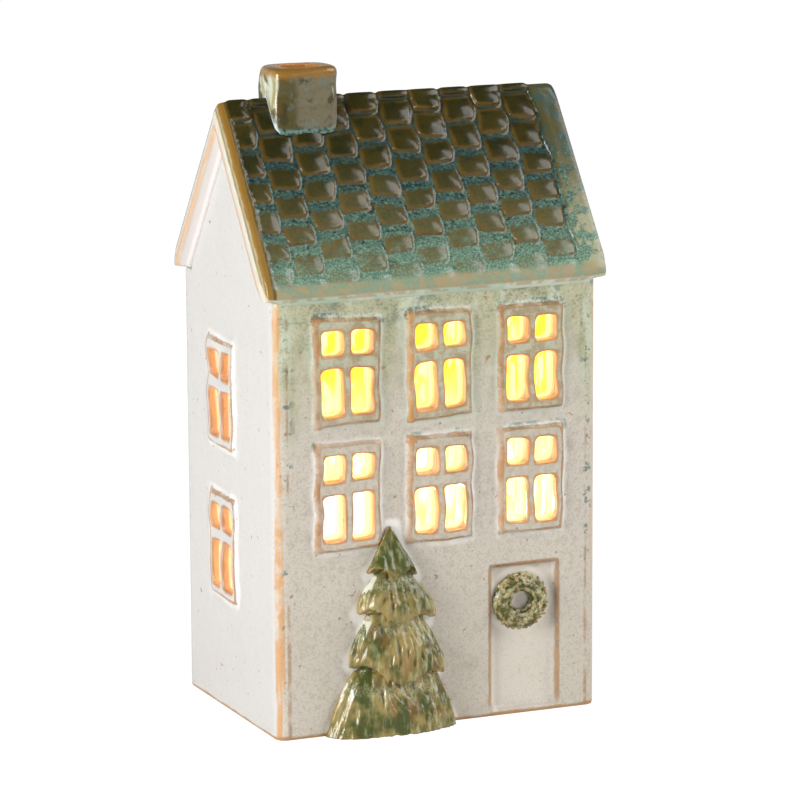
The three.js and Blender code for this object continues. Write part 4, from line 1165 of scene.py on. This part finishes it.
def tier_place(tier, share, turn):
    """A place on a tier's skin, in mm: share runs from neck to hem, turn from left to right."""
    size = tier_sizes[tier]
    top = tier == len(tier_sizes) - 1
    straight = top or tier == 0
    side = "left" if turn < 0 else "right"
    beside = abs(math.sin(turn))
    flare = top_flare if top else foot_flare
    eased_share = share ** flare if straight else smooth_step(share, 0, 1)
    sweep = size[f"neck_{side}"] + (size[f"{side}_reach"] - size[f"neck_{side}"]) * eased_share
    out = size["neck_out"] + (size["hem_out"] - size["neck_out"]) * eased_share
    hem = size["hem_height"] + (size[f"{side}_height"] - size["hem_height"]) * beside ** 2
    hem += size["notch"] * math.sin(2 * turn) ** 2
    lean = tree_tip_shift / MM * (1 - share) if top else 0
    across = math.copysign(beside, turn) * sweep + lean
    edge = tree_edge / MM
    return (across, edge + math.cos(turn) * max(out - edge, 0),
            size["neck_height"] + (hem - size["neck_height"]) * share)


def on_wall(place):
    across, out, height = place
    return (tree_middle + across * MM, -depth_half - out * MM, height * MM)


hem_hollow = 3.5  # mm, how far each tier is hollowed up under its hem
tier_steps, turn_steps = 14, 36
skirt_bodies = []
for tier in range(len(tier_sizes)):
    turns = [math.pi * (i / turn_steps - 0.5) for i in range(turn_steps + 1)]
    rows = []
    for step in range(tier_steps + 1):
        places = [tier_place(tier, step / tier_steps, turn) for turn in turns]
        ends = [(across, -0.3, height) for across, _, height in (places[0], places[-1])]
        rows.append([on_wall(place) for place in (ends[0], *places, ends[1])])
    wide = len(rows[0])
    skirt_points = [point for row in rows for point in row]
    skirt_faces = [(row * wide + i, row * wide + (i + 1) % wide, (row + 1) * wide + (i + 1) % wide,
                    (row + 1) * wide + i) for row in range(tier_steps) for i in range(wide)]
    _, neck_out, neck_height = tier_place(tier, 0, 0)
    _, hem_out, hem_height = tier_place(tier, 1, 0)
    hollow_height = max(hem_height + hem_hollow, 0.5) if tier else 0.0
    skirt_points += [on_wall((0, neck_out / 2, neck_height)),
                     on_wall((0, hem_out / 2, hollow_height))]
    last_row = tier_steps * wide
    for i in range(wide):
        j = (i + 1) % wide
        skirt_faces.append((len(skirt_points) - 2, j, i))
        skirt_faces.append((len(skirt_points) - 1, last_row + i, last_row + j))
    skirt = bpy.data.meshes.new("tree_skirt")
    skirt.from_pydata(skirt_points, [], skirt_faces)
    skirt_bodies.append(skirt)

tuft_tree = Growth("tree_tufts")
tuft_width = tuft_tree.size("Width", 1.0)
tuft_radius = tuft_tree.times(tuft_tree.named("thickness"), tuft_width)
tuft_curve = tuft_tree.node("GeometryNodeMeshToCurve", {"Mesh": tuft_tree.places})
tuft_sized = tuft_tree.node("GeometryNodeSetCurveRadius", {
    "Curve": tuft_curve.outputs["Curve"], "Radius": tuft_radius})
tuft_circle = tuft_tree.node("GeometryNodeCurvePrimitiveCircle", {"Resolution": 8, "Radius": 1.0})
tuft_body = tuft_tree.node("GeometryNodeCurveToMesh", {
    "Curve": tuft_sized.outputs["Curve"], "Profile Curve": tuft_circle.outputs["Curve"],
    "Fill Caps": True})
if "Scale" in tuft_body.inputs:
    tuft_tree.fill(tuft_body.inputs["Scale"], tuft_radius)
tuft_tree.finished(tuft_body.outputs["Mesh"], tree_glaze.material)

draw = np.random.default_rng(14)
tuft_points, tuft_edges, tuft_sizes = [], [], []
tuft_steps = 13
for tier, count in enumerate(tier_tufts):
    narrow = top_narrowing if tier == len(tier_tufts) - 1 else 1
    strands = [(math.radians(turn), 0.1, 0.98, draw.uniform(1.5, 1.9) * narrow, 0.03)
               for turn in lobe_turns]
    for i in range(count):
        turn = math.radians(fan_start + fan_width * i / (count - 1) + draw.uniform(-4, 4))
        strands.append((turn, draw.uniform(0.0, 0.45), draw.uniform(0.88, 1.06),
                        draw.uniform(0.5, 1.0) * narrow, draw.uniform(-0.22, 0.22)))
    for turn, start, end, width, swing in strands:
        phase = draw.uniform(0, 2 * math.pi)
        for step in range(tuft_steps):
            along = step / (tuft_steps - 1)
            share = start + (end - start) * along
            sway = turn + swing * math.sin(phase + 4.5 * along) * math.cos(turn)
            across, out, height = tier_place(tier, share, sway)
            lobed = width > lobe_width
            fullness = (0.2 if lobed else 0.12) + 0.76 * along
            belly = math.sin(math.pi * fullness) ** 0.8
            sunk = 0.6 * width if lobed else 0.3
            tuft_points.append(on_wall((across, out - sunk, max(height, 0.6))))
            tuft_sizes.append(width * belly * MM)
            if step:
                tuft_edges.append((len(tuft_points) - 2, len(tuft_points) - 1))
tuft_places = bpy.data.meshes.new("tuft_places")
tuft_places.from_pydata(tuft_points, tuft_edges, [])
write_attribute(tuft_places, "thickness", np.array(tuft_sizes))
tuft_mesh = tuft_tree.grown("tree_tufts", tuft_places)

fir = cast_clay("fir_tree", [*skirt_bodies, tuft_mesh], tree_spacing)
fir_links = links_of(fir.data)
fir_points = softened(points_of(fir.data), fir_links, tree_rounding, tree_spacing)
move_points(fir.data, fir_points)
fir_normals = normals_of(fir.data)
# Fine brush lines run down the tufts.
comb_points = fir_points * np.array([[1, 1, 0.2]])
comb = wander(comb_points, 2.4 * MM, 17)[:, 0] + 0.6 * wander(comb_points, 1.3 * MM, 19)[:, 1]
clear_of_wall = smooth_step(-fir_points[:, 1] - depth_half, 0.4 * MM, 1.4 * MM)
fir_points += fir_normals * (comb_depth * comb * clear_of_wall)[:, None]
fir_points[:, 1] = np.minimum(fir_points[:, 1], -depth_half)
fir_points[:, 2] = np.maximum(fir_points[:, 2], 0)
move_points(fir.data, fir_points)
fir_relief = relief_of(fir.data, tree_crest_reach, tree_spacing)
write_attribute(fir.data, "crest", np.clip(fir_relief, 0, 1))
write_attribute(fir.data, "pool", np.clip(-fir_relief, 0, 1))
under_hem = np.zeros(len(fir_points))
for size in tier_sizes[1:]:
    hem_drop = size["hem_height"] * MM + 0.5 * MM - fir_points[:, 2]
    under_hem = np.maximum(under_hem, smooth_step(hem_drop, -1.5 * MM, 1 * MM)
                           * smooth_step(-hem_drop, -6 * MM, -2.5 * MM))
write_attribute(fir.data, "under_hem", under_hem)
write_attribute(fir.data, "right_flank", smooth_step(
    fir_points[:, 0] - tree_middle, -2 * MM, 8 * MM))
write_attribute(fir.data, "left_flank", smooth_step(-fir_normals[:, 0], 0.35, 0.75))
shade_smooth(fir.data)

# Moss green and tan, brushed pale, with painted cream highlights on the left flanks under each hem
# and dark green in the folds.
needles = tree_glaze
crest, pool = needles.attribute("crest"), needles.attribute("pool")
cloud = needles.noise(110, 3, 0.6)
brush = needles.noise(620, 3, 0.6, stretch=(1, 1, 0.22))
stroke = needles.noise(330, 3, 0.6, stretch=(1, 1, 0.25), shift=(3, 1, 8))
fleck = needles.noise(1300, 2, 0.6)
colour = needles.mixed(needles.rise(cloud, 0.4, 0.6), srgb(74, 82, 34), srgb(154, 136, 80))
pale_share = needles.plus(needles.times(needles.attribute("right_flank"), 0.45), 0.4)
colour = needles.mixed(needles.times(needles.rise(brush, 0.48, 0.66), pale_share), colour,
                       srgb(176, 176, 134))
colour = needles.laid(colour, srgb(134, 92, 40), needles.rise(stroke, 0.54, 0.64), 0.5)
speck = needles.noise(2300, 2, 0.6, shift=(1, 2, 3))
under_hem = needles.jittered(needles.attribute("under_hem"), cloud, 1.4)
speck_share = needles.times(needles.rise(under_hem, 0.5, 1.0), needles.rise(speck, 0.4, 0.6))
colour = needles.laid(colour, srgb(196, 196, 160), speck_share, 0.35)
# Painted highlight: cream patches on the left-facing flanks just under each hem stand for the left
# soft box's reflection.
painted_highlight_share = needles.times(needles.rise(needles.attribute("left_flank"), 0.3, 0.7),
                          needles.rise(needles.attribute("under_hem"), 0.2, 0.6))
highlight_spots = needles.rise(needles.jittered(stroke, cloud, 0.6), 0.44, 0.52)
painted_highlight_share = needles.times(painted_highlight_share, highlight_spots)
colour = needles.laid(colour, srgb(226, 226, 210), painted_highlight_share, 0.85)
colour = needles.laid(colour, srgb(50, 58, 28),
                      needles.rise(needles.jittered(pool, cloud, 0.2), 0.06, 0.34), 0.8)
amber_share = needles.rise(needles.jittered(crest, brush, 0.5), 0.16, 0.42)
colour = needles.laid(colour, srgb(160, 108, 48), amber_share, 0.5)
needles.paint("Base Color", colour)
needles.paint("Roughness", needles.plus(needles.times(fleck, 0.14), 0.05))
needles.bump(brush, 0.3 * MM, 0.6)
fir.data.materials.append(needles.material)
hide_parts("tree_relief")
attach(fir, "house")


# Wreath. A ring of small pressed leaves on the door, in the tree's green glaze with amber
# tips; the plain clay ring under the leaves shows between them.
wreath_middle = Vector((26.3 * MM, -depth_half + 1.8 * MM, 34.0 * MM))
wreath_ring = 5.75 * MM
wreath_tube = 2.5 * MM
wreath_height = 3.4 * MM
wreath_spacing = 0.22 * MM
wreath_rounding = 0.12 * MM
wreath_crest_reach = 0.5 * MM
leaf_rows = 5
leaves_in_row = 26
wreath_glaze = Finish("wreath_glaze")

leaf_tree = Growth("wreath_leaves")
leaf_length = leaf_tree.size("Length", 1.75 * MM)
leaf_width = leaf_tree.size("Leaf Width", 0.62 * MM)
leaf_thickness = leaf_tree.size("Thickness", 0.42 * MM)
leaf_seed = leaf_tree.size("Seed", 6, "NodeSocketInt")
leaf_ball = leaf_tree.node("GeometryNodeMeshUVSphere", {"Segments": 8, "Rings": 6, "Radius": 1.0})
leaf_turn = leaf_tree.node("FunctionNodeRandomValue", {
    "Min": (-0.35, -0.7, -0.5), "Max": (0.35, -0.1, 0.5), "Seed": leaf_seed},
    data_type="FLOAT_VECTOR")
leaf_way = leaf_tree.node("FunctionNodeAlignRotationToVector", {
    "Vector": leaf_tree.named("outward", "FLOAT_VECTOR")}, axis="Z")
leaf_lean = leaf_tree.node("FunctionNodeAlignRotationToVector", {
    "Rotation": leaf_way.outputs[0], "Vector": leaf_tree.named("along", "FLOAT_VECTOR")},
    axis="X", pivot_axis="Z")
leaf_spin = leaf_tree.node("FunctionNodeEulerToRotation", {0: leaf_turn.outputs["Value"]})
leaf_rotation = leaf_tree.node("FunctionNodeRotateRotation", {
    "Rotation": leaf_lean.outputs[0], "Rotate By": leaf_spin.outputs[0]}, rotation_space="LOCAL")
leaf_scale = leaf_tree.node("ShaderNodeCombineXYZ", {
    "X": leaf_length, "Y": leaf_width, "Z": leaf_thickness})
leaves = leaf_tree.node("GeometryNodeInstanceOnPoints", {
    "Points": leaf_tree.places, "Instance": leaf_ball.outputs["Mesh"],
    "Rotation": leaf_rotation.outputs[0], "Scale": leaf_scale.outputs[0]})
leaf_tree.finished(leaves.outputs["Instances"], wreath_glaze.material)
off_door = Vector((0, -1, 0))
leaf_points, leaf_outward, leaf_along = [], [], []
for leaf_row in range(leaf_rows):
    round_tube = math.pi * (0.12 + 0.76 * leaf_row / (leaf_rows - 1))
    for i in range(leaves_in_row):
        turn = 2 * math.pi * (i + 0.5 * (leaf_row % 2)) / leaves_in_row
        radial = Vector((math.cos(turn), 0, math.sin(turn)))
        outward = radial * math.cos(round_tube) + off_door * math.sin(round_tube)
        tube = radial * math.cos(round_tube) * wreath_tube + (
            off_door * math.sin(round_tube) * wreath_height)
        leaf_points.append(wreath_middle + radial * wreath_ring + tube)
        leaf_outward.append(outward)
        spread = 0.9 * math.cos(round_tube)
        leaf_along.append(Vector((-math.sin(turn), 0, math.cos(turn))) + radial * spread)
leaf_mesh = leaf_tree.grown("wreath_leaves", places_mesh(
    "leaf_places", leaf_points, {"outward": leaf_outward, "along": leaf_along}))
wreath = cast_clay("door_wreath", [welded_copy("wreath_relief"), leaf_mesh], wreath_spacing)
wreath_links = links_of(wreath.data)
wreath_points = softened(points_of(wreath.data), wreath_links, wreath_rounding, wreath_spacing)
wreath_points[:, 1] = np.minimum(wreath_points[:, 1], wreath_middle.y)
move_points(wreath.data, wreath_points)
wreath_relief = relief_of(wreath.data, wreath_crest_reach, wreath_spacing)
write_attribute(wreath.data, "crest", np.clip(wreath_relief, 0, 1))
write_attribute(wreath.data, "pool", np.clip(-wreath_relief, 0, 1))
shade_smooth(wreath.data)

# Moss green and cream leaves with dark gaps and amber tips.
leafy = wreath_glaze
crest, pool = leafy.attribute("crest"), leafy.attribute("pool")
cloud = leafy.noise(420, 3, 0.6)
fleck = leafy.noise(1300, 2, 0.6)
colour = leafy.mixed(leafy.rise(cloud, 0.42, 0.58), srgb(80, 86, 38), srgb(180, 174, 132))
colour = leafy.mixed(leafy.rise(leafy.jittered(pool, cloud, 0.2), 0.04, 0.24), colour,
                     srgb(42, 50, 28))
amber_share = leafy.rise(leafy.jittered(crest, fleck, 0.6), 0.16, 0.36)
colour = leafy.laid(colour, srgb(176, 124, 60), amber_share, 0.85)
leafy.paint("Base Color", colour)
leafy.paint("Roughness", leafy.plus(leafy.times(fleck, 0.16), 0.1))
leafy.bump(fleck, 0.1 * MM, 0.5)
wreath.data.materials.append(leafy.material)
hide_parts("wreath_relief")
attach(wreath, "house")


# Tealight shell. A moulded white plastic cup with a softened rim and a shallow dish around
# the flame, open underneath; it stands loose on the house's floor.
def lathed(name, profile, segments):
    """A closed turned body; the profile runs anticlockwise in radius and height."""
    shell = bmesh.new()
    rings = []
    for radius, height in profile:
        if radius < 1e-6:
            rings.append([shell.verts.new((0, 0, height))])
            continue
        rings.append([shell.verts.new((radius * math.cos(2 * math.pi * i / segments),
                                       radius * math.sin(2 * math.pi * i / segments), height))
                      for i in range(segments)])
    for low, high in zip(rings, rings[1:] + rings[:1]):
        for i in range(segments):
            j = (i + 1) % segments
            corners = [low[i % len(low)], low[j % len(low)], high[j % len(high)],
                       high[i % len(high)]]
            corners = list(dict.fromkeys(corners))
            if len(corners) > 2:
                shell.faces.new(corners)
    mesh = bpy.data.meshes.new(name)
    shell.to_mesh(mesh)
    shell.free()
    shade_smooth(mesh)
    return mesh


def eased(profile, radius, steps=3):
    """The closed profile with its corners rounded, except those on the axis."""
    points = [Vector(point) for point in profile]
    result = []
    for i, here in enumerate(points):
        if here.x < 1e-6:
            result.append(here)
            continue
        before, after = points[i - 1] - here, points[(i + 1) % len(points)] - here
        start = here + before * min(0.45, radius / before.length)
        end = here + after * min(0.45, radius / after.length)
        for step in range(steps + 1):
            share = step / steps
            result.append(start.lerp(here, share).lerp(here.lerp(end, share), share))
    return [(point.x, point.y) for point in result]


shelf = 7.0 * MM
tealight_radius = 18.75 * MM
tealight_height = 18.0 * MM
plastic_wall = 1.2 * MM
rim_rounding = 0.8 * MM
dish_height = shelf + 16.0 * MM
dish_slope = 3.0 * MM
hole_radius = 4.6 * MM
hole_top = dish_height - 0.4 * MM
rim_height = shelf + tealight_height
inner_radius = tealight_radius - plastic_wall
cup_profile = [
    (tealight_radius, shelf), (tealight_radius, rim_height - rim_rounding),
    (tealight_radius - rim_rounding, rim_height),
    (tealight_radius - 2 * rim_rounding, rim_height - rim_rounding / 4),
    (tealight_radius - dish_slope, dish_height), (hole_radius + dish_slope, dish_height),
    (hole_radius, hole_top), (hole_radius, hole_top - plastic_wall),
    (inner_radius, hole_top - plastic_wall), (inner_radius, shelf)]
cup_easing = 0.5 * MM
cup = new_object("tealight_shell", lathed("tealight_shell", eased(cup_profile, cup_easing), 96))
plastic = Finish("white_plastic")
mould_grain = plastic.noise(2600, 2, 0.6)
handling = plastic.noise(90, 3, 0.6)
plastic.paint("Base Color", plastic.mixed(handling, srgb(244, 240, 230), srgb(232, 226, 212)))
plastic.paint("Roughness", plastic.plus(plastic.times(handling, 0.2), 0.28))
plastic.paint("Subsurface Weight", 0.15)
plastic.paint("Subsurface Scale", 2 * MM)
plastic.bump(mould_grain, 0.03 * MM, 0.5)
cup.data.materials.append(plastic.material)
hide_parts("tealight_cup")
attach(cup, "tealight")


# Flame. A hollow teardrop of translucent warm plastic, seated by its flange under the
# shell's hole and lit from inside by the flicker lamp.
flame_tip = rim_height + 17.0 * MM
flame_swell = dish_height + 5.1 * MM
flame_radius = 4.9 * MM
flame_neck = 4.3 * MM
flange_top = hole_top - plastic_wall - 0.3 * MM
flange_radius = 6.2 * MM
flange_height = 1.2 * MM
lamp_bore = 2.8 * MM
lamp_top = 26.5 * MM
flame_rise = flame_tip - flame_swell
flame_profile = [
    (lamp_bore, flange_top - flange_height), (flange_radius, flange_top - flange_height),
    (flange_radius, flange_top), (flame_neck, flange_top), (flame_neck, dish_height + 0.3 * MM),
    (flame_radius, flame_swell), (flame_radius * 0.84, flame_swell + flame_rise * 0.3),
    (flame_radius * 0.5, flame_swell + flame_rise * 0.62),
    (flame_radius * 0.2, flame_swell + flame_rise * 0.88), (0, flame_tip),
    (0, lamp_top), (lamp_bore * 0.7, lamp_top - 0.8 * MM), (lamp_bore, lamp_top - 2.5 * MM)]
flame_easing = 1.6 * MM
flame = new_object("flame", lathed("flame", eased(flame_profile, flame_easing, 4), 64))
lit = Finish("flame_plastic")
flow = lit.noise(220, 3, 0.6, stretch=(1, 1, 0.35))
lit.paint("Base Color", lit.mixed(flow, srgb(255, 226, 170), srgb(255, 206, 130)))
lit.paint("Roughness", lit.plus(lit.times(flow, 0.2), 0.22))
foot_height, crown_height = 24 * MM, 42 * MM
lit.paint("Emission Color", lit.mixed(lit.rise(lit.z, foot_height, crown_height),
                                      (1.0, 0.86, 0.5, 1), (1.0, 0.55, 0.14, 1)))
foot_share = lit.rise(lit.z, crown_height, foot_height)
lit.paint("Emission Strength", lit.plus(lit.times(foot_share, 1.6), 0.7))
lit.bump(flow, 0.1 * MM, 0.4)
flame.data.materials.append(lit.material)
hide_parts("flame_lens")
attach(flame, "tealight")


# Inside of the tealight. Base plate, twist-lock battery door, coin cell, contact strips,
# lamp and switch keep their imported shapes, each in its own moulded, plated or sprung stuff.
def dress(material, *nodes):
    for name in nodes:
        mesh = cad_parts[name].data
        mesh.materials.clear()
        mesh.materials.append(material)


dress(plastic.material, "base_plate", "battery_door")

resin = Finish("led_resin")
haze = resin.noise(500, 2, 0.5)
resin.paint("Base Color", resin.mixed(haze, srgb(255, 240, 206), srgb(255, 226, 170)))
resin.paint("Roughness", resin.plus(resin.times(haze, 0.1), 0.06))
resin.paint("Emission Color", (1.0, 0.72, 0.3, 1))
resin.paint("Emission Strength", resin.plus(haze, 1.5))
dress(resin.material, "flicker_led")


def metal(name, light, dark, scale, stretch, roughness):
    """Drawn or rolled metal with fine lines along it and a little tarnish."""
    finish = Finish(name)
    lines = finish.noise(scale, 2, 0.6, stretch=stretch)
    tarnish = finish.noise(240, 3, 0.6)
    finish.paint("Base Color", finish.mixed(tarnish, light, dark))
    finish.paint("Metallic", 1.0)
    finish.paint("Roughness", finish.plus(finish.times(lines, 0.2), roughness))
    finish.bump(lines, 0.02 * MM, 0.4)
    return finish.material


dress(metal("tinned_wire", srgb(214, 214, 208), srgb(186, 186, 182), 3000, (1, 1, 0.1), 0.2),
      "led_anode_lead", "led_cathode_lead")
dress(metal("cell_steel", srgb(216, 217, 219), srgb(198, 199, 202), 2600, (1, 0.2, 1), 0.16),
      "coin_cell")
dress(metal("contact_brass", srgb(214, 180, 104), srgb(184, 144, 76), 2600, (0.2, 1, 1), 0.22),
      "negative_contact", "positive_contact", "lamp_contact", "switch_blade")

black = Finish("black_plastic")
spark = black.noise(2400, 2, 0.6)
black.paint("Base Color", black.mixed(spark, srgb(34, 34, 35), srgb(48, 48, 50)))
black.paint("Roughness", black.plus(black.times(spark, 0.25), 0.4))
black.bump(spark, 0.05 * MM, 0.6)
dress(black.material, "switch_slider")

lamp_light = bpy.data.lights.new("lamp_light", "POINT")
lamp_light.energy = 0.1
lamp_light.color = (1.0, 0.72, 0.3)
lamp_light.shadow_soft_size = 5 * MM
lamp_holder = bpy.data.objects.new("lamp_light", lamp_light)
lamp_holder.location = (0, 0, flame_tip + 8 * MM)
bpy.context.scene.collection.objects.link(lamp_holder)
